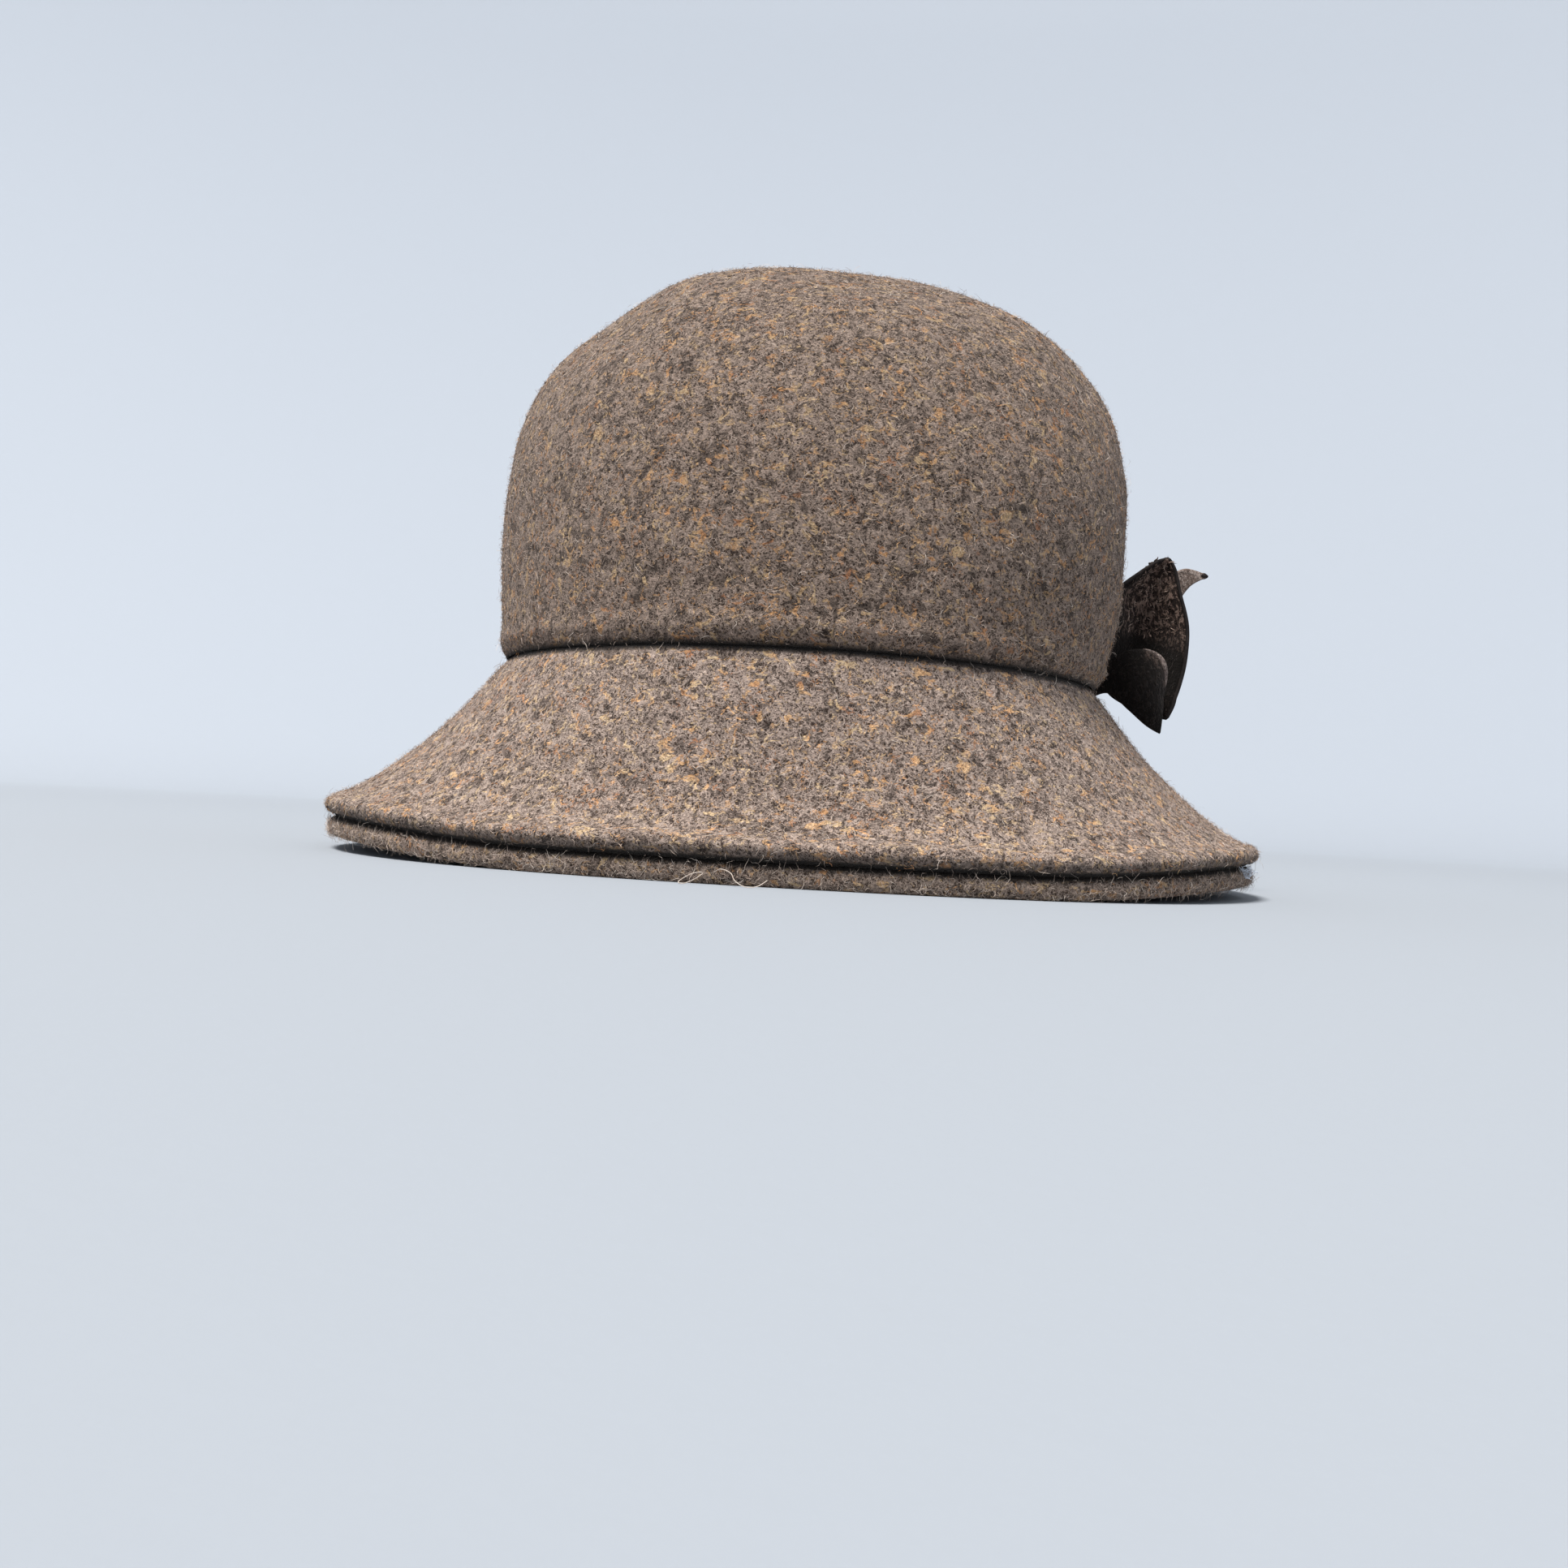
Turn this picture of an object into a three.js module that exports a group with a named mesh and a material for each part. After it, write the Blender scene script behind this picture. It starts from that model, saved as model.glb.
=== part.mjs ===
import * as THREE from "three";

// A cloche hat in thick wool tweed, in millimetres, +Z up. It rests on its rim on the plane z = 0.
// The front is -Y and the ornament is at +X. Azimuth 0 is the front and a quarter turn is +X.
// Each wall is a section in the meridian plane, repeated round the head oval and closed on itself.

// Driving dimensions
const SEAM_WIDTH = 179; // outside of the crown where the brim is sewn on
const SEAM_LENGTH = 205;
const SEAM_FORWARD = 1.5; // the crown stands this far in front of the rim's centre
const SEAM_HEIGHT_FRONT = 58.5;
const SEAM_HEIGHT_SIDE = 59.5;
const SEAM_HEIGHT_BACK = 69.5;
const CROWN_TOP = 176; // highest point above the resting plane
const CROWN_WALL = 2.2;
const CROWN_LIP = 0.9; // the crown's turned edge hangs this far over the seam
const CROWN_LEAN = 2.5; // the crown leans this far towards the ornament
const OVAL_POWER = 2.2; // a head's oval is slightly fuller than an ellipse, which has 2
const DENT_DEPTH = 4;
const RIM_WIDTH = 277;
const RIM_LENGTH = 250;
const RIM_LIFT = 4; // the rim's sides stand off the resting plane
const RIM_WAVE = 0.9; // unevenness of the rim's outline
const WAVE_START = 0.8; // turns the waves round the rim, in radians
const RIM_ROLL = 5.1; // height of each turned edge at the rim
const RIM_FOOT = 3.2; // width of the flat strip that rests
const BRIM_WALL = 2; // each of the brim's two layers
const COLLAR_HEIGHT = 9; // seam allowance of the brim, turned up inside the crown
const FOLD_DEPTH = 1; // puckers on the facing's underside
const FOLD_FULLNESS = 0.7; // below 1, a pucker keeps its depth nearer to the seam and the rim
const BAND_HEIGHT = 32;
const BAND_WALL = 1.2;
const BAND_LEAN = 1.5; // its upper edge leans in to the head
const GAP = 0.3; // clearance between neighbouring pieces
const LAYER_GAP = 0.5; // between the brim's two layers, which are faceted

// Ornament
const ORNAMENT_AZIMUTH = 90; // degrees, at the side
const LEAF_WALL = 1.6;
const LEAF_HEIGHT = 46;
const LEAF_REACH = 26.5; // how far the leaves stand out of the crown
const LEAF_CUP = 9; // how deep the leaves are cupped
const LEAF_LENGTH = 42; // the back leaf, along the crown
const KNOT_LENGTH = 13;
const KNOT_HEIGHT = 15;
const KNOT_REACH = 8;
const KNOT_FULLNESS = 0.35; // 0.5 would be an ellipsoid, and less is fuller
const KNOT_START = 10.5; // its front end lies this far behind the ornament's azimuth
const KNOT_UP = 5.7; // its middle stands this far over the seam

// Slopes of the brim in degrees below level, where it leaves the seam and where it meets the rim.
const LEAVE_SLOPE = { front: 74, side: 50, back: 76 };
const RIM_SLOPE = { front: 22, side: 27, back: 22 };
const LEAVE_PULL = 0.4; // how far each slope carries, as a share of the brim's slant
const RIM_PULL = 0.3;
const ROLL_START = 0.8; // share of the slant where the turned edges start
const FOOT_ARC = 0.42; // sine of the azimuth where the rim starts to lift

// Mesh steps
const COLUMNS = 72;
const CROWN_OUTER_ROWS = 14;
const CROWN_INNER_ROWS = 8;
const BRIM_TOP_ROWS = 8;
const BRIM_JOIN_ROWS = 6; // between the brim's two layers
const BRIM_UNDER_ROWS = 7;
const RIM_CROWDING = 1.25;
const ROLL_STEPS = 4;
const BAND_ROWS = 2;
const LEAF_ROWS = 8;
const LEAF_COLUMNS = 5;
const KNOT_ROWS = 6;
const KNOT_SIDES = 10;

// The crown from seam to top: height as a share of the crown's, the half sizes as shares of the
// seam's, to the side, the front and the back, and the sideways lean as a share of the crown's.
const CROWN_SECTIONS = [
  { up: 0, side: 1, front: 1, back: 1, lean: 0 },
  { up: 0.12, side: 1.03, front: 1.008, back: 1.012, lean: 0.5 },
  { up: 0.26, side: 1.052, front: 1.008, back: 1.02, lean: 0.9 },
  { up: 0.4, side: 1.052, front: 0.99, back: 1.015, lean: 1 },
  { up: 0.54, side: 1.025, front: 0.95, back: 0.985, lean: 1 },
  { up: 0.67, side: 0.965, front: 0.88, back: 0.925, lean: 1 },
  { up: 0.79, side: 0.865, front: 0.775, back: 0.825, lean: 0.9 },
  { up: 0.89, side: 0.71, front: 0.63, back: 0.68, lean: 0.75 },
  { up: 0.955, side: 0.51, front: 0.45, back: 0.48, lean: 0.6 },
  { up: 0.99, side: 0.27, front: 0.24, back: 0.25, lean: 0.5 },
  { up: 1, side: 0, front: 0, back: 0, lean: 0.5 },
];

// Soft dents in the crown: azimuth and spread in degrees, place and spread along the section from
// seam to top, and depth as a share of the dent depth. A negative depth is a bump.
const DENTS = [
  { at: -50, spread: 17, along: 0.6, reach: 0.09, depth: 0.95 },
  { at: -78, spread: 18, along: 0.72, reach: 0.08, depth: 0.8 },
  { at: -30, spread: 13, along: 0.67, reach: 0.09, depth: -0.2 },
  { at: -64, spread: 18, along: 0.84, reach: 0.06, depth: -0.2 },
  { at: 17, spread: 18, along: 0.69, reach: 0.09, depth: 0.7 },
  { at: 64, spread: 16, along: 0.77, reach: 0.07, depth: 0.5 },
  { at: 60, spread: 17, along: 0.45, reach: 0.09, depth: 0.15 },
  { at: 78, spread: 15, along: 0.52, reach: 0.09, depth: -0.5 },
  { at: 80, spread: 14, along: 0.25, reach: 0.08, depth: 0.4 },
  { at: 150, spread: 30, along: 0.6, reach: 0.12, depth: 0.35 },
  { at: -140, spread: 26, along: 0.45, reach: 0.12, depth: 0.3 },
];

// Puckers of the facing: azimuth and spread in degrees, and depth as a share of the fold depth.
const FOLDS = [
  { at: -125, spread: 8, depth: 0.6 },
  { at: -107, spread: 7, depth: 0.9 },
  { at: -90, spread: 6, depth: 0.7 },
  { at: -75, spread: 6, depth: 1 },
  { at: -60, spread: 6, depth: 0.6 },
  { at: 65, spread: 6, depth: 0.8 },
  { at: 80, spread: 6, depth: 1 },
  { at: 95, spread: 6, depth: 0.6 },
  { at: 112, spread: 7, depth: 0.9 },
  { at: 131, spread: 8, depth: 0.6 },
  { at: 165, spread: 9, depth: 0.5 },
  { at: -160, spread: 9, depth: 0.5 },
];

const radians = THREE.MathUtils.degToRad;
const lerp = THREE.MathUtils.lerp;
const smoothstep = THREE.MathUtils.smoothstep;
const TURN = 2 * Math.PI;

// Value at an azimuth of a size given at the front, the sides and the back.
function around(front, side, back, a) {
  const mean = (front + back) / 4 + side / 2;
  const lean = (front - back) / 2;
  const squeeze = (front + back) / 4 - side / 2;
  return mean + lean * Math.cos(a) + squeeze * Math.cos(2 * a);
}

// A head's oval, with its own half length to the front and to the back.
function oval(a, halfWidth, halfFront, halfBack) {
  const s = Math.sin(a);
  const c = Math.cos(a);
  const sum = Math.abs(s) ** OVAL_POWER + Math.abs(c) ** OVAL_POWER;
  const k = sum ** (-1 / OVAL_POWER);
  const half = c > 0 ? halfFront : halfBack;
  return new THREE.Vector2(halfWidth * s * k, -half * c * k);
}

// A smooth value between the rows of a table, t from 0 at the first row to 1 at the last.
function between(table, column, t) {
  const place = THREE.MathUtils.clamp(t, 0, 1) * (table.length - 1);
  const i = Math.min(Math.floor(place), table.length - 2);
  const f = place - i;
  const p1 = table[i][column];
  const p2 = table[i + 1][column];
  const p0 = i > 0 ? table[i - 1][column] : 2 * p1 - p2;
  const p3 = i < table.length - 2 ? table[i + 2][column] : p1;
  const slope1 = (p2 - p0) / 2;
  const slope2 = (p3 - p1) / 2;
  const f2 = f * f;
  const f3 = f2 * f;
  const start = (2 * f3 - 3 * f2 + 1) * p1 + (f3 - 2 * f2 + f) * slope1;
  return start + (3 * f2 - 2 * f3) * p2 + (f3 - f2) * slope2;
}

// The angle from one azimuth to another, the short way round.
function turnBetween(a, b) {
  return Math.atan2(Math.sin(a - b), Math.cos(a - b));
}

function bump(distance, spread) {
  return Math.exp(-((distance / spread) ** 2));
}

function seamHeight(a) {
  return around(SEAM_HEIGHT_FRONT, SEAM_HEIGHT_SIDE, SEAM_HEIGHT_BACK, a);
}

function seamPoint(a) {
  const p = oval(a, SEAM_WIDTH / 2, SEAM_LENGTH / 2, SEAM_LENGTH / 2);
  p.y -= SEAM_FORWARD;
  return p;
}

// The rim is flat on the resting plane at the front and the back, and lifts at both sides.
function rimBottom(a) {
  return RIM_LIFT * smoothstep(Math.abs(Math.sin(a)), FOOT_ARC, 1);
}

function rimPoint(a) {
  const p = oval(a, RIM_WIDTH / 2, RIM_LENGTH / 2, RIM_LENGTH / 2);
  const waves = Math.sin(3 * a + WAVE_START) + Math.sin(5 * a) / 2;
  const wave = RIM_WAVE * waves * Math.sin(a) ** 2;
  return p.multiplyScalar(1 + wave / p.length());
}

// Outside of the crown: t runs from the seam to the top.
function crownSkin(a, t) {
  const up = between(CROWN_SECTIONS, "up", t);
  const side = between(CROWN_SECTIONS, "side", t);
  const front = between(CROWN_SECTIONS, "front", t);
  const back = between(CROWN_SECTIONS, "back", t);
  const half = SEAM_LENGTH / 2;
  const p = oval(a, (SEAM_WIDTH / 2) * side, half * front, half * back);
  const base = seamHeight(a);
  const lean = CROWN_LEAN * between(CROWN_SECTIONS, "lean", t);
  return new THREE.Vector3(p.x + lean, p.y - SEAM_FORWARD, lerp(base, CROWN_TOP, up));
}

const NUDGE = 1e-3;
function crownNormal(a, t) {
  const low = Math.min(t, 1 - 3 * NUDGE);
  const along = crownSkin(a, low + NUDGE).sub(crownSkin(a, low - NUDGE));
  const across = crownSkin(a + NUDGE, low).sub(crownSkin(a - NUDGE, low));
  return across.cross(along).normalize();
}

function crownDent(a, t) {
  let depth = 0;
  for (const dent of DENTS) {
    const turn = turnBetween(a, radians(dent.at));
    const share = bump(turn, radians(dent.spread)) * bump(t - dent.along, dent.reach);
    depth += DENT_DEPTH * dent.depth * share;
  }
  return depth;
}

// A point at a depth under the crown's outside, dents included.
function crownPoint(a, t, depth) {
  const down = crownDent(a, t) + depth;
  return crownSkin(a, t).addScaledVector(crownNormal(a, t), -down);
}

// One closed skin from rings of points. Each ring runs round the azimuth. The last ring joins the
// first unless both ends are closed by a tip. Each quad is split along its shorter diagonal.
function skin(rings, tips) {
  const position = [];
  const index = [];
  const columns = rings[0].length;
  for (const ring of rings) for (const p of ring) position.push(p.x, p.y, p.z);
  const joined = tips ? rings.length - 1 : rings.length;
  for (let i = 0; i < joined; i++) {
    const next = (i + 1) % rings.length;
    for (let j = 0; j < columns; j++) {
      const k = (j + 1) % columns;
      const a = i * columns + j;
      const b = i * columns + k;
      const c = next * columns + j;
      const d = next * columns + k;
      const across = rings[i][j].distanceTo(rings[next][k]);
      const other = rings[i][k].distanceTo(rings[next][j]);
      if (across <= other) index.push(a, d, b, a, c, d);
      else index.push(a, c, b, b, c, d);
    }
  }
  if (tips) {
    const first = position.length / 3;
    const last = first + 1;
    for (const p of tips) position.push(p.x, p.y, p.z);
    const start = (rings.length - 1) * columns;
    for (let j = 0; j < columns; j++) {
      const k = (j + 1) % columns;
      index.push(first, j, k);
      index.push(last, start + k, start + j);
    }
  }
  const geometry = new THREE.BufferGeometry();
  geometry.setAttribute("position", new THREE.Float32BufferAttribute(position, 3));
  geometry.setIndex(index);
  geometry.computeVertexNormals();
  return geometry;
}

function azimuths() {
  return Array.from({ length: COLUMNS }, (_, j) => (j / COLUMNS) * TURN);
}

// Rings of a wall whose section is given at each azimuth as points (out, up).
function wallRings(section) {
  const columns = azimuths().map((a) => section(a));
  return columns[0].map((_, i) => columns.map((column) => column[i]));
}

function seamNormal(a) {
  const along = seamPoint(a + NUDGE).sub(seamPoint(a - NUDGE)).normalize();
  return new THREE.Vector2(along.y, -along.x);
}

// A place in the meridian plane: out is counted from the seam line, towards the rim, and square to
// the seam where it is negative, inside the crown.
function meridian(a) {
  const seam = seamPoint(a);
  const way = rimPoint(a).sub(seam);
  const reach = way.length();
  way.normalize();
  const inward = seamNormal(a);
  const place = (out, z) => {
    const side = out < 0 ? inward : way;
    return new THREE.Vector3(seam.x + side.x * out, seam.y + side.y * out, z);
  };
  return { reach, place };
}

function crown() {
  const outer = [];
  for (let i = CROWN_OUTER_ROWS - 1; i >= 0; i--) {
    const t = i / CROWN_OUTER_ROWS;
    outer.push(azimuths().map((a) => crownPoint(a, t, 0)));
  }
  const lip = azimuths().map((a) => {
    const p = crownPoint(a, 0, CROWN_WALL / 2);
    p.z -= CROWN_LIP;
    return p;
  });
  const inner = [];
  for (let i = 0; i < CROWN_INNER_ROWS; i++) {
    const t = i / CROWN_INNER_ROWS;
    inner.push(azimuths().map((a) => crownPoint(a, t, CROWN_WALL)));
  }
  const top = crownSkin(0, 1);
  const under = top.clone();
  under.z -= CROWN_WALL;
  return skin([...outer, lip, ...inner], [top, under]);
}

// The brim's upper surface in one meridian plane, as a curve from the seam to the rim.
const LIP_CLEARANCE = CROWN_LIP + 2 * GAP;
function brimCurve(a, reach) {
  const slope = radians(around(LEAVE_SLOPE.front, LEAVE_SLOPE.side, LEAVE_SLOPE.back, a));
  const rimSlope = radians(around(RIM_SLOPE.front, RIM_SLOPE.side, RIM_SLOPE.back, a));
  const start = new THREE.Vector2(-CROWN_WALL / 2, seamHeight(a) - LIP_CLEARANCE);
  const rimTop = rimBottom(a) + 2 * RIM_ROLL + LAYER_GAP;
  const end = new THREE.Vector2(reach - RIM_ROLL / 2, rimTop);
  const slant = start.distanceTo(end);
  const leave = new THREE.Vector2(Math.cos(slope), -Math.sin(slope));
  const arrive = new THREE.Vector2(Math.cos(rimSlope), -Math.sin(rimSlope));
  const c1 = start.clone().addScaledVector(leave, LEAVE_PULL * slant);
  const c2 = end.clone().addScaledVector(arrive, -RIM_PULL * slant);
  return new THREE.CubicBezierCurve(start, c1, c2, end);
}

// A point at a depth under the brim's upper surface. At the rim the depth is straight down.
function underBrim(curve, t, depth) {
  const p = curve.getPoint(t);
  const way = curve.getTangent(t);
  const down = new THREE.Vector2(way.y, -way.x);
  down.lerp(new THREE.Vector2(0, -1), smoothstep(t, ROLL_START, 1)).normalize();
  return p.addScaledVector(down, depth);
}

// A layer grows from its wall to the height of the turned edge near the rim.
function layerDepth(t) {
  return lerp(BRIM_WALL, RIM_ROLL, smoothstep(t, ROLL_START, 1));
}

// A half round edge from a top point to the same depth below it.
function rollPoints(top, depth) {
  const points = [];
  for (let i = 1; i < ROLL_STEPS; i++) {
    const turn = (i / ROLL_STEPS) * Math.PI;
    const out = top.x + (depth / 2) * Math.sin(turn);
    points.push(new THREE.Vector2(out, top.y - (depth / 2) * (1 - Math.cos(turn))));
  }
  return points;
}

function steps(count) {
  return Array.from({ length: count + 1 }, (_, i) => i / count);
}

// The rows lie closer together towards the rim.
function brimStep(share) {
  return 1 - (1 - share) ** RIM_CROWDING;
}

const COLLAR_OUT = -(CROWN_WALL + GAP);
const COLLAR_IN = COLLAR_OUT - BRIM_WALL;

function brimTopSection(a) {
  const { reach, place } = meridian(a);
  const curve = brimCurve(a, reach);
  const seam = seamHeight(a);
  const down = steps(BRIM_TOP_ROWS).map((s) => curve.getPoint(brimStep(s)));
  const back = steps(BRIM_JOIN_ROWS)
    .reverse()
    .map((s) => underBrim(curve, brimStep(s), layerDepth(brimStep(s))));
  const section = [
    new THREE.Vector2(COLLAR_OUT, seam + COLLAR_HEIGHT),
    new THREE.Vector2(COLLAR_OUT, seam - GAP),
    ...down,
    ...rollPoints(down[down.length - 1], RIM_ROLL),
    ...back,
    new THREE.Vector2(COLLAR_IN, seam),
    new THREE.Vector2(COLLAR_IN, seam + COLLAR_HEIGHT),
  ];
  return section.map((p) => place(p.x, p.y));
}

function foldDepth(a, t) {
  let depth = 0;
  for (const fold of FOLDS) {
    const turn = turnBetween(a, radians(fold.at));
    depth += FOLD_DEPTH * fold.depth * bump(turn, radians(fold.spread));
  }
  return depth * Math.sin(Math.PI * t) ** FOLD_FULLNESS;
}

// The step along a brim curve at which it has come a given way out.
const HALVINGS = 20;
function stepAt(curve, out) {
  let low = 0;
  let high = 1;
  for (let i = 0; i < HALVINGS; i++) {
    const middle = (low + high) / 2;
    if (curve.getPoint(middle).x < out) low = middle;
    else high = middle;
  }
  return low;
}

function brimFacingSection(a) {
  const { reach, place } = meridian(a);
  const curve = brimCurve(a, reach);
  const bottom = rimBottom(a);
  const edge = reach - RIM_ROLL / 2;
  const foot = edge - RIM_FOOT;
  const down = steps(BRIM_JOIN_ROWS).map((s) => {
    const t = brimStep(s);
    return underBrim(curve, t, layerDepth(t) + LAYER_GAP);
  });
  const last = stepAt(curve, foot - RIM_ROLL / 2);
  const back = steps(BRIM_UNDER_ROWS).map((s) => {
    const t = last * (1 - s);
    return underBrim(curve, t, 2 * layerDepth(t) + LAYER_GAP + foldDepth(a, t));
  });
  const section = [
    ...down,
    ...rollPoints(down[down.length - 1], RIM_ROLL),
    new THREE.Vector2(edge, bottom),
    new THREE.Vector2(foot, bottom),
    ...back,
  ];
  return section.map((p) => place(p.x, p.y));
}

// The sweatband stands inside the brim's collar, its lower edge just above the facing.
const BAND_DROP = LIP_CLEARANCE - GAP;
function sweatbandSection(a) {
  const { place } = meridian(a);
  const out = COLLAR_IN - GAP;
  const bottom = seamHeight(a) - BAND_DROP;
  const outside = steps(BAND_ROWS).map((s) => {
    return new THREE.Vector2(out - BAND_LEAN * s * s, bottom + BAND_HEIGHT * s);
  });
  const inside = outside.map((p) => new THREE.Vector2(p.x - BAND_WALL, p.y)).reverse();
  return [...outside.reverse(), ...inside.reverse()].map((p) => place(p.x, p.y));
}

// The height of the brim's upper surface at a way out of the seam.
function brimHeight(a, out) {
  const curve = brimCurve(a, meridian(a).reach);
  return curve.getPoint(stepAt(curve, out)).y;
}

// How far out of the seam line the crown stands at a height.
function crownBulge(a, z) {
  let low = 0;
  let high = 0.5; // the ornament stays below the middle of the section
  for (let i = 0; i < HALVINGS; i++) {
    const middle = (low + high) / 2;
    if (crownPoint(a, middle, 0).z < z) low = middle;
    else high = middle;
  }
  const p = crownPoint(a, low, 0);
  const seam = seamPoint(a);
  return Math.hypot(p.x, p.y + SEAM_FORWARD) - Math.hypot(seam.x, seam.y + SEAM_FORWARD);
}

// A place beside the crown: along runs back round it, up is counted from the seam, and out from
// the crown. A place that would reach into the brim lies on it.
function beside(along, up, out) {
  const a = radians(ORNAMENT_AZIMUTH) + along / (SEAM_LENGTH / 2);
  const rest = brimHeight(a, out) + LEAF_WALL + GAP;
  const z = Math.max(seamHeight(a) + up, rest);
  return meridian(a).place(crownBulge(a, z) + GAP + out, z);
}

// A sheet of points, thickened to a wall and closed along its edges.
function thickSheet(points, wall) {
  const rows = points.length;
  const columns = points[0].length;
  const at = (i, j) => points[Math.min(Math.max(i, 0), rows - 1)][Math.min(Math.max(j, 0), columns - 1)];
  const face = (side) =>
    points.map((row, i) =>
      row.map((p, j) => {
        const down = at(i + 1, j).clone().sub(at(i - 1, j));
        const across = at(i, j + 1).clone().sub(at(i, j - 1));
        const normal = across.cross(down).normalize();
        return p.clone().addScaledVector(normal, (side * wall) / 2);
      }),
    );
  const outside = face(1);
  const inside = face(-1);
  // Each ring runs along a row on the outside and back along it on the inside.
  const rings = outside.map((row, i) => [...row, ...inside[i].slice().reverse()]);
  const position = rings.flat().flatMap((p) => [p.x, p.y, p.z]);
  const round = 2 * columns;
  const index = [];
  for (let i = 0; i < rows - 1; i++) {
    for (let j = 0; j < round; j++) {
      const k = (j + 1) % round;
      index.push(i * round + j, i * round + k, (i + 1) * round + j);
      index.push(i * round + k, (i + 1) * round + k, (i + 1) * round + j);
    }
  }
  const last = (rows - 1) * round;
  for (let j = 0; j < columns - 1; j++) {
    const k = round - 1 - j;
    index.push(j, k, j + 1, j + 1, k, k - 1);
    index.push(last + j, last + j + 1, last + k, last + j + 1, last + k - 1, last + k);
  }
  const geometry = new THREE.BufferGeometry();
  geometry.setAttribute("position", new THREE.Float32BufferAttribute(position, 3));
  geometry.setIndex(index);
  geometry.computeVertexNormals();
  return geometry;
}

// Leaves of the ornament, one row for each section. A section runs from one edge to the other.
// Counted from the leaf's foot, out is a share of the reach, up of the leaf's height, along of the
// leaf's length, and cup of the cup's depth, towards the back.
const FRONT_LEAF = [
  { fromOut: 0.74, fromUp: -0.12, toOut: 0.92, toUp: -0.14, along: 0, cup: 0.1 },
  { fromOut: 0.3, fromUp: -0.02, toOut: 1, toUp: -0.02, along: 0, cup: 0.5 },
  { fromOut: 0.03, fromUp: 0.14, toOut: 1, toUp: 0.14, along: 0, cup: 0.9 },
  { fromOut: 0, fromUp: 0.34, toOut: 0.96, toUp: 0.32, along: 0, cup: 1 },
  { fromOut: 0, fromUp: 0.52, toOut: 0.9, toUp: 0.5, along: 0.01, cup: 0.9 },
  { fromOut: 0.02, fromUp: 0.7, toOut: 0.78, toUp: 0.7, along: 0.02, cup: 0.65 },
  { fromOut: 0.28, fromUp: 0.84, toOut: 0.7, toUp: 0.87, along: 0.03, cup: 0.35 },
  { fromOut: 0.5, fromUp: 0.93, toOut: 0.61, toUp: 0.95, along: 0.03, cup: 0.05 },
];
const INNER_LEAF = [
  { fromOut: 0.03, fromUp: -0.02, toOut: 0.03, toUp: 0.2, along: 0, cup: 0 },
  { fromOut: 0.2, fromUp: 0, toOut: 0.2, toUp: 0.29, along: -0.03, cup: -0.15 },
  { fromOut: 0.42, fromUp: -0.1, toOut: 0.44, toUp: 0.31, along: -0.05, cup: -0.3 },
  { fromOut: 0.64, fromUp: -0.2, toOut: 0.66, toUp: 0.24, along: -0.04, cup: -0.3 },
  { fromOut: 0.82, fromUp: -0.25, toOut: 0.82, toUp: 0.06, along: -0.01, cup: -0.1 },
];
const BACK_LEAF = [
  { fromOut: 0.04, fromUp: -0.08, toOut: -0.04, toUp: 0.08, along: 0, cup: 0 },
  { fromOut: 0.2, fromUp: -0.16, toOut: 0, toUp: 0.2, along: 0.14, cup: 0 },
  { fromOut: 0.28, fromUp: -0.2, toOut: 0.03, toUp: 0.28, along: 0.34, cup: 0 },
  { fromOut: 0.28, fromUp: -0.2, toOut: 0.02, toUp: 0.27, along: 0.54, cup: 0 },
  { fromOut: 0.2, fromUp: -0.13, toOut: 0, toUp: 0.18, along: 0.74, cup: 0 },
  { fromOut: 0.1, fromUp: 0, toOut: 0.04, toUp: 0.08, along: 0.92, cup: 0 },
];
const TIP_LEAF = [
  { fromOut: 0.16, fromUp: -0.06, toOut: 0, toUp: 0.02, along: 0, cup: 0 },
  { fromOut: 0.3, fromUp: 0.18, toOut: 0.1, toUp: 0.3, along: -0.08, cup: 0 },
  { fromOut: 0.42, fromUp: 0.38, toOut: 0.24, toUp: 0.5, along: -0.16, cup: 0 },
  { fromOut: 0.52, fromUp: 0.57, toOut: 0.38, toUp: 0.68, along: -0.22, cup: 0 },
  { fromOut: 0.62, fromUp: 0.69, toOut: 0.56, toUp: 0.76, along: -0.26, cup: 0 },
  { fromOut: 0.73, fromUp: 0.73, toOut: 0.72, toUp: 0.75, along: -0.28, cup: 0 },
];

// Where each leaf starts: on the crown, in front of the front leaf, behind the knot and on the
// knot's outer side.
const FRONT_FOOT = { along: 0, up: 0, out: 0 };
const INNER_FOOT = { along: -(LEAF_WALL + GAP), up: 0, out: 0 };
const BACK_FOOT = {
  along: KNOT_START + KNOT_LENGTH + GAP,
  up: KNOT_UP,
  out: KNOT_REACH / 2,
};
const TIP_FOOT = {
  along: KNOT_START + KNOT_LENGTH / 2,
  up: KNOT_UP,
  out: KNOT_REACH + GAP - LEAF_WALL / 2,
};

function leaf(table, foot) {
  const points = steps(LEAF_ROWS).map((t) => {
    const value = (column) => between(table, column, t);
    return steps(LEAF_COLUMNS).map((q) => {
      const cup = LEAF_CUP * value("cup") * Math.sin(Math.PI * q);
      const along = foot.along + LEAF_LENGTH * value("along") + cup;
      const up = foot.up + LEAF_HEIGHT * lerp(value("fromUp"), value("toUp"), q);
      const out = foot.out + LEAF_REACH * lerp(value("fromOut"), value("toOut"), q);
      return beside(along, up, out + LEAF_WALL / 2);
    });
  });
  return thickSheet(points, LEAF_WALL);
}

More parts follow.
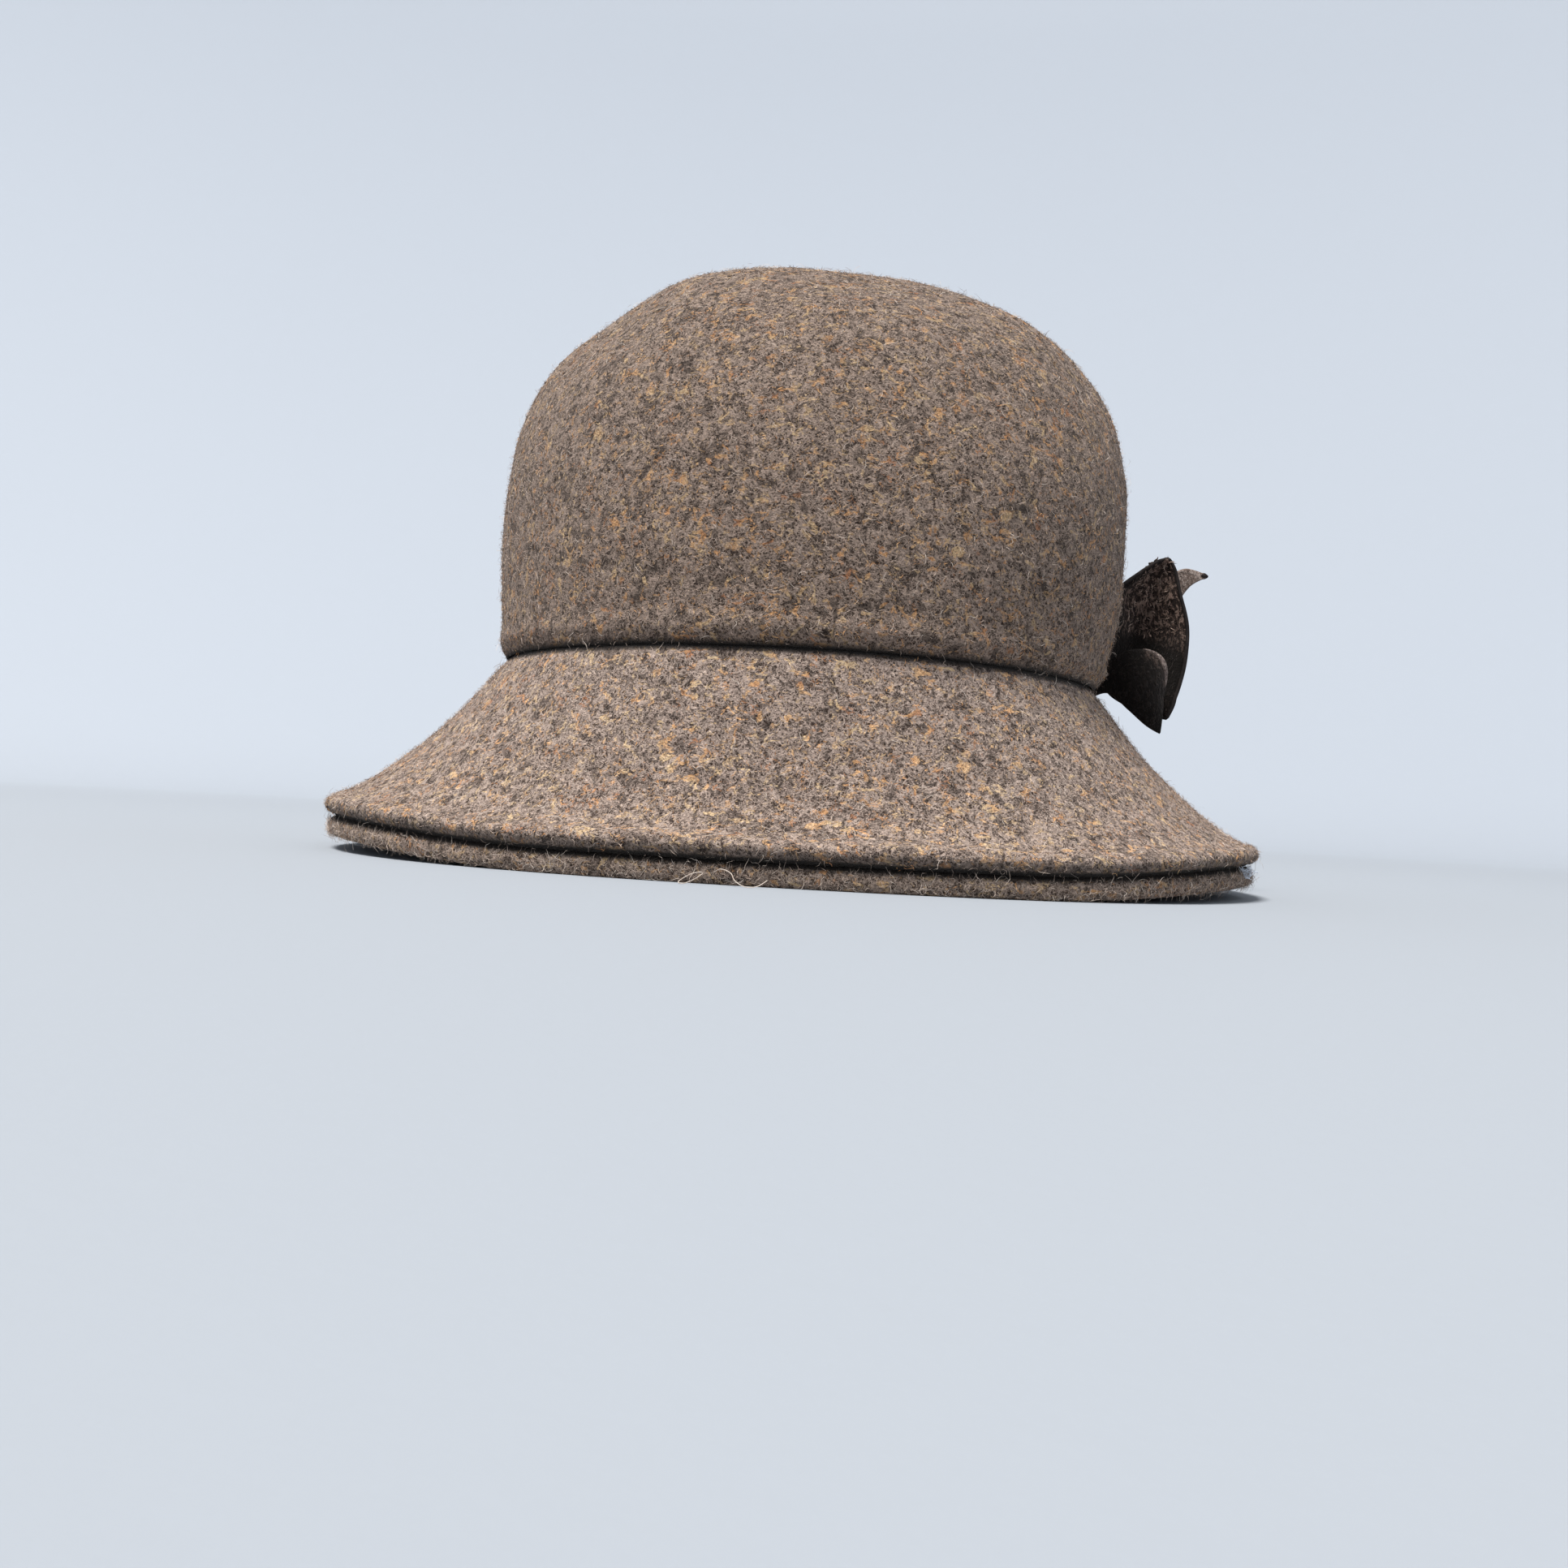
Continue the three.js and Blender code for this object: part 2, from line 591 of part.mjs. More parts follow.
// The knot is a rounded pad against the crown.
function knot() {
  const ring = (share) => {
    const width = (1 - (2 * share - 1) ** 2) ** KNOT_FULLNESS;
    return Array.from({ length: KNOT_SIDES }, (_, j) => {
      const turn = (j / KNOT_SIDES) * TURN;
      const up = KNOT_UP + (KNOT_HEIGHT / 2) * width * Math.sin(turn);
      const out = (KNOT_REACH / 2) * (1 + width * Math.cos(turn));
      return beside(KNOT_START + KNOT_LENGTH * share, up, out);
    });
  };
  const middle = (share) => beside(KNOT_START + KNOT_LENGTH * share, KNOT_UP, KNOT_REACH / 2);
  return skin(steps(KNOT_ROWS).slice(1, -1).map(ring), [middle(0), middle(1)]);
}

function material(color, roughness) {
  return new THREE.MeshStandardMaterial({ color, roughness, metalness: 0 });
}

const tweed = material(0x6b574b, 0.95);
const tweedUnder = material(0x56463c, 0.95);
const bandCloth = material(0x1b1c24, 0.8);
const leafCloth = material(0x2f211c, 0.95);

const hat = new THREE.Group();
function add(name, geometry, surface) {
  const mesh = new THREE.Mesh(geometry, surface);
  mesh.name = name;
  hat.add(mesh);
}

add("crown", crown(), tweed);
add("brim_top", skin(wallRings(brimTopSection)), tweed);
add("brim_facing", skin(wallRings(brimFacingSection)), tweedUnder);
add("sweatband", skin(wallRings(sweatbandSection)), bandCloth);
add("ornament_knot", knot(), leafCloth);
add("ornament_leaf_front", leaf(FRONT_LEAF, FRONT_FOOT), leafCloth);
add("ornament_leaf_inner", leaf(INNER_LEAF, INNER_FOOT), leafCloth);
add("ornament_leaf_back", leaf(BACK_LEAF, BACK_FOOT), leafCloth);
add("ornament_leaf_tip", leaf(TIP_LEAF, TIP_FOOT), leafCloth);

export default hat;
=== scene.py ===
import math

import bmesh
import bpy
import numpy as np
from mathutils import Matrix, Vector, noise


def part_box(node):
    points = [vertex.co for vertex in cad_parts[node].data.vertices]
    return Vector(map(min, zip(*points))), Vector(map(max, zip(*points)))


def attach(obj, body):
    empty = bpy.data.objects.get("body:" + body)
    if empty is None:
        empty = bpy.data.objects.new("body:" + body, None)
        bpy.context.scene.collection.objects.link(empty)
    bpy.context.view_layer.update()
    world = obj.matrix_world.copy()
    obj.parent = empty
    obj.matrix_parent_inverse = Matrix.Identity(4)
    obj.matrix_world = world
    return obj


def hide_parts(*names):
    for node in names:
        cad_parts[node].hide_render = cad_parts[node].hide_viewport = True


# A cloche hat in thick wool tweed with a dark leaf ornament at its side. The shells, leaves and
# strands are made in millimetres in the frame's axes, +Z up with the front at -Y, and scaled to
# metres when a mesh is made. Azimuth 0 is the front and a quarter turn is +X.

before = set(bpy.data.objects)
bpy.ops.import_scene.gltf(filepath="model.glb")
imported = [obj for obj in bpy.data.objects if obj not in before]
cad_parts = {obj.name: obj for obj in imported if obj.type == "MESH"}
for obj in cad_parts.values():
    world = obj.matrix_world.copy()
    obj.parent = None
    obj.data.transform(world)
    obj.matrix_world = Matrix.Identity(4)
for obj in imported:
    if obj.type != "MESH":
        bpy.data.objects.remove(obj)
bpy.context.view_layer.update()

MM = 0.001
TURN = 2 * math.pi
rng = np.random.default_rng(1926)

# Sizes of the hat's form, as in the frame's solids
SEAM_WIDTH = 179
SEAM_LENGTH = 205
SEAM_FORWARD = 1.5
SEAM_HEIGHT = (58.5, 59.5, 69.5)  # front, side, back
CROWN_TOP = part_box("crown")[1].z / MM
CROWN_WALL = 2.2
CROWN_LIP = 0.9
CROWN_LEAN = 2.5
DENT_DEPTH = 4
RIM_WIDTH = 277
RIM_LENGTH = 250
RIM_LIFT = 4
RIM_WAVE = 0.9
WAVE_START = 0.8
RIM_ROLL = 5.1
RIM_FOOT = 3.2
BRIM_WALL = 2
COLLAR_HEIGHT = 9
FOLD_DEPTH = 1
FOLD_FULLNESS = 0.7
BAND_HEIGHT = 32
BAND_WALL = 1.2
BAND_LEAN = 1.5
GAP = 0.3
LAYER_GAP = 0.5
OVAL_POWER = 2.2
LEAVE_SLOPE = (74, 50, 76)
RIM_SLOPE = (22, 27, 22)
LEAVE_PULL = 0.4
RIM_PULL = 0.3
ROLL_START = 0.8
FOOT_ARC = 0.42
LIP_CLEARANCE = CROWN_LIP + 2 * GAP

# Sizes of the ornament
ORNAMENT_AZIMUTH = 90
LEAF_WALL = 1.6
LEAF_HEIGHT = 46
LEAF_REACH = 26.5
LEAF_CUP = 9
LEAF_LENGTH = 42
KNOT_LENGTH = 13
KNOT_HEIGHT = 15
KNOT_REACH = 8
KNOT_FULLNESS = 0.35
KNOT_START = 10.5
KNOT_UP = 5.7

# Steps of the fine meshes
COLUMNS = 420
CROWN_ROWS = 130
CROWN_INNER_ROWS = 26
BRIM_ROWS = 110
ROLL_ROWS = 22
JOIN_ROWS = 14
UNDER_ROWS = 60

# The crown from seam to top: height, half sizes and sideways lean, as shares
CROWN_SECTIONS = {
    "up": (0, 0.12, 0.26, 0.4, 0.54, 0.67, 0.79, 0.89, 0.955, 0.99, 1),
    "side": (1, 1.03, 1.052, 1.052, 1.025, 0.965, 0.865, 0.71, 0.51, 0.27, 0),
    "front": (1, 1.008, 1.008, 0.99, 0.95, 0.88, 0.775, 0.63, 0.45, 0.24, 0),
    "back": (1, 1.012, 1.02, 1.015, 0.985, 0.925, 0.825, 0.68, 0.48, 0.25, 0),
    "lean": (0, 0.5, 0.9, 1, 1, 1, 0.9, 0.75, 0.6, 0.5, 0.5),
}

# Soft dents in the crown: azimuth, spread, place along the section, reach along it, depth
DENTS = (
    (-50, 17, 0.6, 0.09, 0.95),
    (-78, 18, 0.72, 0.08, 0.8),
    (-30, 13, 0.67, 0.09, -0.2),
    (-64, 18, 0.84, 0.06, -0.2),
    (17, 18, 0.69, 0.09, 0.7),
    (64, 16, 0.77, 0.07, 0.5),
    (60, 17, 0.45, 0.09, 0.15),
    (78, 15, 0.52, 0.09, -0.5),
    (80, 14, 0.25, 0.08, 0.4),
    (150, 30, 0.6, 0.12, 0.35),
    (-140, 26, 0.45, 0.12, 0.3),
)

# Puckers of the facing: azimuth, spread, depth
FOLDS = (
    (-125, 8, 0.6), (-107, 7, 0.9), (-90, 6, 0.7), (-75, 6, 1), (-60, 6, 0.6), (65, 6, 0.8),
    (80, 6, 1), (95, 6, 0.6), (112, 7, 0.9), (131, 8, 0.6), (165, 9, 0.5), (-160, 9, 0.5),
)


def around(size, a):
    """Value at an azimuth of a size given at the front, the sides and the back."""
    front, side, back = size
    mean = (front + back) / 4 + side / 2
    squeeze = (front + back) / 4 - side / 2
    return mean + (front - back) / 2 * np.cos(a) + squeeze * np.cos(2 * a)


def oval(a, half_width, half_front, half_back):
    s, c = np.sin(a), np.cos(a)
    k = (np.abs(s) ** OVAL_POWER + np.abs(c) ** OVAL_POWER) ** (-1 / OVAL_POWER)
    half = np.where(c > 0, half_front, half_back)
    return half_width * s * k, -half * c * k


def between(column, t):
    """A smooth value along a column of a table, t from 0 at its first row to 1 at its last."""
    column = np.asarray(column, float)
    last = len(column) - 1
    ends = np.concatenate([[2 * column[0] - column[1]], column, [column[-2]]])
    place = np.clip(t, 0, 1) * last
    i = np.minimum(place.astype(int), last - 1)
    f = place - i
    p0, p1, p2, p3 = (ends[i + k] for k in range(4))
    start = (2 * f**3 - 3 * f**2 + 1) * p1 + (f**3 - 2 * f**2 + f) * (p2 - p0) / 2
    return start + (3 * f**2 - 2 * f**3) * p2 + (f**3 - f**2) * (p3 - p1) / 2


def turn_between(a, b):
    return np.arctan2(np.sin(a - b), np.cos(a - b))


def bump(distance, spread):
    return np.exp(-((distance / spread) ** 2))


def smooth(x, low, high):
    """Goes smoothly from 0 at low to 1 at high."""
    x = np.clip((x - low) / (high - low), 0, 1)
    return x * x * (3 - 2 * x)


def last_before(short, shape, most):
    """Finds the last place between 0 and a most that is still short of a goal."""
    low, high = np.zeros(shape), np.full(shape, float(most))
    for _ in range(20):
        middle = (low + high) / 2
        before = short(middle)
        low = np.where(before, middle, low)
        high = np.where(before, high, middle)
    return low


def unit(v):
    return v / np.maximum(np.linalg.norm(v, axis=-1, keepdims=True), 1e-9)


def seam_point(a):
    x, y = oval(a, SEAM_WIDTH / 2, SEAM_LENGTH / 2, SEAM_LENGTH / 2)
    return np.stack([x, y - SEAM_FORWARD], -1)


def rim_bottom(a):
    return RIM_LIFT * smooth(np.abs(np.sin(a)), FOOT_ARC, 1)


def rim_point(a):
    p = np.stack(oval(a, RIM_WIDTH / 2, RIM_LENGTH / 2, RIM_LENGTH / 2), -1)
    waves = np.sin(3 * a + WAVE_START) + np.sin(5 * a) / 2
    wave = RIM_WAVE * waves * np.sin(a) ** 2
    return p * (1 + wave / np.linalg.norm(p, axis=-1))[..., None]


def crown_skin(a, t):
    side, front, back = (between(CROWN_SECTIONS[k], t) for k in ("side", "front", "back"))
    x, y = oval(a, SEAM_WIDTH / 2 * side, SEAM_LENGTH / 2 * front, SEAM_LENGTH / 2 * back)
    base = around(SEAM_HEIGHT, a)
    z = base + (CROWN_TOP - base) * between(CROWN_SECTIONS["up"], t)
    lean = CROWN_LEAN * between(CROWN_SECTIONS["lean"], t)
    return np.stack([x + lean, y - SEAM_FORWARD, z], -1)


def crown_point(a, t, depth):
    """A point at a depth under the crown's outside, with its dents."""
    nudge = 1e-3
    low = np.minimum(t, 1 - 3 * nudge)
    along = crown_skin(a, low + nudge) - crown_skin(a, low - nudge)
    across = crown_skin(a + nudge, low) - crown_skin(a - nudge, low)
    for at, spread, place, reach, share in DENTS:
        turn = turn_between(a, math.radians(at))
        dent = bump(turn, math.radians(spread)) * bump(t - place, reach)
        depth = depth + DENT_DEPTH * share * dent
    return crown_skin(a, t) - unit(np.cross(across, along)) * np.asarray(depth)[..., None]


class Meridian:
    """The meridian plane at each azimuth: out is counted from the seam line towards the rim."""

    def __init__(self, a):
        self.a = a
        self.seam = seam_point(a)
        way = rim_point(a) - self.seam
        self.reach = np.linalg.norm(way, axis=-1)
        self.way = unit(way)
        along = unit(seam_point(a + 1e-3) - seam_point(a - 1e-3))
        self.inward = np.stack([along[..., 1], -along[..., 0]], -1)
        slope = np.radians(around(LEAVE_SLOPE, a))
        rim_slope = np.radians(around(RIM_SLOPE, a))
        start = self.flat(-CROWN_WALL / 2, around(SEAM_HEIGHT, a) - LIP_CLEARANCE)
        end = self.flat(self.reach - RIM_ROLL / 2, rim_bottom(a) + 2 * RIM_ROLL + LAYER_GAP)
        slant = np.linalg.norm(end - start, axis=-1)[..., None]
        leave = np.stack([np.cos(slope), -np.sin(slope)], -1)
        arrive = np.stack([np.cos(rim_slope), -np.sin(rim_slope)], -1)
        self.hull = (start, start + LEAVE_PULL * slant * leave, end - RIM_PULL * slant * arrive, end)

    def flat(self, out, z):
        return np.stack(np.broadcast_arrays(np.asarray(out, float), z), -1)

    def place(self, p):
        out = p[..., :1]
        side = np.where(out < 0, self.inward, self.way)
        return np.concatenate([self.seam + side * out, p[..., 1:]], -1)

    def curve(self, t):
        """The brim's upper surface as (out, z), t from the seam to the rim."""
        t = np.asarray(t, float)[..., None]
        p0, p1, p2, p3 = self.hull
        u = 1 - t
        return u**3 * p0 + 3 * u * u * t * p1 + 3 * u * t * t * p2 + t**3 * p3

    def under(self, t, depth):
        p0, p1, p2, p3 = self.hull
        f = np.asarray(t, float)[..., None]
        u = 1 - f
        way = unit(3 * u * u * (p1 - p0) + 6 * u * f * (p2 - p1) + 3 * f * f * (p3 - p2))
        down = np.stack([way[..., 1], -way[..., 0]], -1)
        down = unit(down + ([0, -1.0] - down) * smooth(f, ROLL_START, 1))
        return self.curve(t) + down * np.asarray(depth)[..., None]

    def step_at(self, out):
        """The step along the brim's curve at which it has come a given way out."""
        return last_before(lambda t: self.curve(t)[..., 0] < out, np.shape(out), 1)


def layer_depth(t):
    return BRIM_WALL + (RIM_ROLL - BRIM_WALL) * smooth(t, ROLL_START, 1)


# Meshes

ROOT_DEPTH = 0.12  # a fibre starts this far inside the cloth
FIBRE_FLOOR = 0.15  # and stays this far above the resting plane
FIBRE_TWIST = 1.2  # most that a fibre is turned on edge, in radians
FIBRE_TAPER = 0.35  # share of its width that it loses before its point
LIFT_KEPT = (-0.5, 0.9)  # share of its lift that it keeps at each joint
AZIMUTHS = np.arange(COLUMNS) / COLUMNS * TURN


def normals_of(grid):
    """Outward normals of a grid of rows that run round the hat."""
    across = np.roll(grid, -1, 1) - np.roll(grid, 1, 1)
    return unit(np.cross(differences(grid), across))


def differences(rows):
    """The step from the row before to the row after, at the ends from one row to the next."""
    steps = np.roll(rows, -1, 0) - np.roll(rows, 1, 0)
    steps[0] = rows[1] - rows[0]
    steps[-1] = rows[-1] - rows[-2]
    return steps


def lumps(points, size, seed):
    """Smooth noise at each point, from about -1 to 1, with lumps of a given size."""
    flat = points.reshape(-1, 3) / size + seed
    values = [noise.noise(Vector(p)) for p in flat]
    return np.array(values).reshape(points.shape[:-1])


def ring_faces(rows, columns, closed):
    """Faces of rings one above the other. Closed joins the last ring to the first."""
    i = np.arange(rows if closed else rows - 1)[:, None]
    j = np.arange(columns)[None, :]
    k = (j + 1) % columns
    n = (i + 1) % rows
    corners = (i * columns + j, n * columns + j, n * columns + k, i * columns + k)
    return np.stack(corners, -1).reshape(-1, 4)


def capped_faces(rows, columns):
    """Faces of rings that run from one point to another. The two points come after the rings."""
    faces = ring_faces(rows, columns, False).tolist()
    first = rows * columns
    last_row = first - columns
    for j in range(columns):
        k = (j + 1) % columns
        faces += [[first, j, k], [first + 1, last_row + k, last_row + j]]
    return faces


def placed(name, data):
    """A new object for a mesh, a light or a camera."""
    made = bpy.data.objects.new(name, data)
    bpy.context.scene.collection.objects.link(made)
    return made


def smooth_piece(name, points, faces, surface):
    """An object with a smooth mesh from points in metres."""
    mesh = bpy.data.meshes.new(name)
    mesh.from_pydata(points, [], faces)
    mesh.polygons.foreach_set("use_smooth", [True] * len(mesh.polygons))
    mesh.materials.append(surface)
    return placed(name, mesh)


def make(name, points, faces, surface, slot, *stands_for):
    """A smooth piece from points in millimetres, riding on the hat."""
    points = (np.asarray(points).reshape(-1, 3) * MM).tolist()
    piece = smooth_piece(name, points, [list(map(int, f)) for f in faces], surface)
    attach(piece, "root")
    if stands_for:
        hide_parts(*stands_for)
    return piece


def paint(piece, name, values):
    """A value for each point of a piece, read by its material."""
    layer = piece.data.attributes.new(name, "FLOAT", "POINT")
    layer.data.foreach_set("value", np.asarray(values, float).ravel())


def shade(piece, name, rows):
    """A value for each row of a piece that is a grid round the hat, read by its material."""
    values = np.zeros(len(piece.data.vertices))
    values[:len(rows) * COLUMNS] = np.repeat(rows, COLUMNS)
    paint(piece, name, values)


def weld(piece):
    """Joins the points of a mesh that lie on each other, and drops what has no area."""
    shape = bmesh.new()
    shape.from_mesh(piece.data)
    bmesh.ops.remove_doubles(shape, verts=shape.verts, dist=1e-7)
    bmesh.ops.dissolve_degenerate(shape, edges=shape.edges, dist=1e-8)
    shape.to_mesh(piece.data)
    shape.free()


def scatter(grid, count, weight=None):
    """Random places on a grid of rows round the hat: points, normals and the way round."""
    here, right, below = grid[:-1], np.roll(grid, -1, 1)[:-1], grid[1:]
    area = np.linalg.norm(np.cross(below - here, right - here), axis=-1)
    if weight is not None:
        area = area * weight[:-1, None]
    chance = area.ravel() / area.sum()
    pick = rng.choice(chance.size, count, p=chance)
    i, j = pick // grid.shape[1], pick % grid.shape[1]
    k = (j + 1) % grid.shape[1]
    u, v = rng.random((2, count, 1))
    top = grid[i, j] * (1 - u) + grid[i, k] * u
    bottom = grid[i + 1, j] * (1 - u) + grid[i + 1, k] * u
    points = top * (1 - v) + bottom * v
    across = unit(grid[i, k] - grid[i, j])
    normals = unit(np.cross(grid[i + 1, j] - grid[i, j], across))
    return points, normals, across


def strands(name, places, length, width, rise, surface, slot, joints=2, bend=0.9):
    """Flat wool fibres that leave a surface, bend back along it and end in a point."""
    points, normals, across = places
    count = len(points)
    side = np.cross(normals, across)
    turn = rng.uniform(0, TURN, (count, 1))
    lift = rng.uniform(*rise, (count, 1))
    step = rng.uniform(*length, (count, 1)) / joints
    half = rng.uniform(*width, (count, 1)) / 2
    twist = rng.uniform(-FIBRE_TWIST, FIBRE_TWIST, (count, 1))
    here = points - normals * ROOT_DEPTH
    rows = []
    for joint in range(joints):
        flat = across * np.cos(turn) + side * np.sin(turn)
        wide = np.cross(flat, normals) * np.cos(twist) + normals * np.sin(twist)
        wide = wide * half * (1 - FIBRE_TAPER * joint / joints)
        rows += [here - wide, here + wide]
        here = here + (flat * np.cos(lift) + normals * np.sin(lift)) * step
        turn = turn + rng.normal(0, bend, (count, 1))
        lift = lift * rng.uniform(*LIFT_KEPT, (count, 1))
    corners = np.stack([*rows, here], 1)
    corners[..., 2] = np.maximum(corners[..., 2], FIBRE_FLOOR)
    base = np.arange(count)[:, None] * (2 * joints + 1)
    groups = [base + [2 * k, 2 * k + 1, 2 * k + 3, 2 * k + 2] for k in range(joints - 1)]
    groups.append(base + [2 * joints - 2, 2 * joints - 1, 2 * joints])
    faces = [face for group in groups for face in group.tolist()]
    make(name, corners, faces, surface, slot)


def tube(path, radius, sides, closed=False):
    """Points and faces of a round cord along a path. A radius may be given for each point."""
    path = np.asarray(path, float)
    count = len(path)
    radius = np.broadcast_to(np.asarray(radius, float), (count,))
    ahead = unit(np.roll(path, -1, 0) - np.roll(path, 1, 0) if closed else differences(path))
    right = unit(np.cross(ahead[0], (0.3, 0.5, 0.8)))
    rights = []
    for way in ahead:
        right = unit(right - way * np.dot(right, way))
        rights.append(right)
    rights = np.array(rights)
    ups = np.cross(ahead, rights)
    turn = np.arange(sides) / sides * TURN
    ring = rights[:, None] * np.cos(turn)[:, None] + ups[:, None] * np.sin(turn)[:, None]
    points = (path[:, None] + ring * radius[:, None, None]).reshape(-1, 3)
    faces = ring_faces(count, sides, closed)[:, ::-1].tolist()
    if not closed:
        faces.append(list(range(sides))[::-1])
        faces.append([(count - 1) * sides + k for k in range(sides)])
    return points, faces


def joined(parts):
    """Several sets of points and faces as one."""
    points, faces, start = [], [], 0
    for p, f in parts:
        points.append(p)
        faces += [[k + start for k in face] for face in f]
        start += len(p)
    return np.concatenate(points), faces


# Materials

class Cloth:
    """A node material for cloth. Sizes are in millimetres."""

    def __init__(self, name, roughness=0.95, sheen=0.0, sheen_tint=(1, 1, 1), specular=0.15):
        self.material = bpy.data.materials.new(name)
        self.material.use_nodes = True
        self.tree = self.material.node_tree
        self.shader = self.tree.nodes["Principled BSDF"]
        self.fill(self.shader, {
            "Roughness": roughness,
            "Sheen Weight": sheen,
            "Sheen Roughness": 0.5,
            "Sheen Tint": sheen_tint,
            "Specular IOR Level": specular,
        })
        self.place = self.add("ShaderNodeTexCoord").outputs["Object"]

    def add(self, kind, inputs=None, **settings):
        """A node with its settings and inputs."""
        made = self.tree.nodes.new(kind)
        for key, value in settings.items():
            setattr(made, key, value)
        self.fill(made, inputs or {})
        return made

    def fill(self, node, inputs):
        """Gives the named inputs of a node a value, a colour or a link."""
        for key, value in inputs.items():
            socket = node.inputs[key]
            if isinstance(value, bpy.types.NodeSocket):
                self.tree.links.new(value, socket)
            elif socket.type == "RGBA":
                socket.default_value = (*value, 1)
            else:
                socket.default_value = value

    def turned(self, angles, stretch):
        """The place turned by angles in degrees and stretched along its own X, Y and Z."""
        angles = [math.radians(v) for v in angles]
        inputs = {"Vector": self.place, "Rotation": angles, "Scale": stretch}
        return self.add("ShaderNodeMapping", inputs, vector_type="TEXTURE").outputs["Vector"]

    def noise(self, size, detail=2.0, roughness=0.5, distortion=0.0, place=None):
        inputs = {
            "Vector": place or self.place,
            "Scale": 1 / (size * MM),
            "Detail": detail,
            "Roughness": roughness,
            "Distortion": distortion,
        }
        return self.add("ShaderNodeTexNoise", inputs).outputs["Fac"]

    def curls(self, size, width, angles, stretch, distortion=1.0):
        """Thin curling fibres: 1 along each line, 0 beside it."""
        field = self.noise(size, 1, 0.5, distortion, self.turned(angles, stretch))
        away = self.math("ABSOLUTE", self.math("SUBTRACT", field, 0.5))
        return self.mask(away, 0.6 * width / size, 0.0)

    def ramp(self, value, stops):
        made = self.add("ShaderNodeValToRGB", {"Fac": value})
        elements = made.color_ramp.elements
        while len(elements) < len(stops):
            elements.new(0.5)
        for element, (position, color) in zip(elements, stops):
            element.position = position
            element.color = (*color, 1)
        return made.outputs["Color"]

    def mask(self, value, low, high):
        """Goes smoothly from 0 where the value is low to 1 where it is high."""
        inputs = {"Value": value, "From Min": low, "From Max": high}
        made = self.add("ShaderNodeMapRange", inputs, interpolation_type="SMOOTHSTEP")
        return made.outputs["Result"]

    def largest(self, masks):
        total = masks[0]
        for mask in masks[1:]:
            total = self.math("MAXIMUM", total, mask)
        return total

    def math(self, operation, a, b=0.0):
        return self.add("ShaderNodeMath", {0: a, 1: b}, operation=operation).outputs[0]

    def times(self, a, b):
        return self.math("MULTIPLY", a, b)

    def mix(self, factor, a, b, blend="MIX"):
        inputs = {"Factor": factor, "A": a, "B": b}
        made = self.add("ShaderNodeMix", inputs, data_type="RGBA", blend_type=blend)
        for socket in made.outputs:
            if socket.type == "RGBA":
                return socket

    def attribute(self, name):
        return self.add("ShaderNodeAttribute", attribute_name=name).outputs["Fac"]

    def finish(self, color, height, depth, strength):
        """Colour, and relief of a given depth in millimetres."""
        inputs = {"Strength": strength, "Distance": depth * MM, "Height": height}
        relief = self.add("ShaderNodeBump", inputs).outputs["Normal"]
        self.fill(self.shader, {"Base Color": color, "Normal": relief})
        return self.material


PAINTED_SHADE_BROWN = (0.004, 0.003, 0.0025)  # painted shade in the gaps between layers and under edges
DARK_BROWN = (0.018, 0.011, 0.008)
BROWN = (0.056, 0.034, 0.0245)
TAUPE = (0.118, 0.080, 0.061)
BEIGE = (0.40, 0.305, 0.245)
OCHRE = (0.55, 0.295, 0.13)
RUST = (0.36, 0.165, 0.08)
STRAW = (0.54, 0.385, 0.22)
# Painted light: the brim's tweed is painted lighter than the crown's, as the brim faces up into the light
# from above.
CROWN_TONE = (0.95, 0.93, 0.92)
BRIM_PAINTED_LIGHT = (1.37, 1.38, 1.42)
FIBRE_STRENGTH = 0.72  # how far the light fibres cover the wool
GAP_STRENGTH = 0.8  # and the dark gaps between them

# Dyed flecks: size of their noise, where it starts to show and is full, strength
FLECKS = ((1.9, 0.575, 0.625, 0.64), (3.1, 0.59, 0.635, 0.86))


def fibre_pile(cloth):
    """Masks of the light fibres on top of the cloth and of the dark gaps between them."""
    light = (
        cloth.curls(1.5, 0.15, (0, 24, 10), (1.6, 1, 1)),
        cloth.curls(1.05, 0.13, (30, -38, 70), (1.5, 1, 1)),
        cloth.curls(2.1, 0.2, (15, -12, 40), (1.3, 1, 1), 1.6),
    )
    dark = (
        cloth.curls(1.3, 0.17, (50, 10, 20), (1.5, 1, 1)),
        cloth.curls(0.85, 0.12, (-20, 40, -30), (1.4, 1, 1)),
    )
    return cloth.largest(light), cloth.largest(dark)


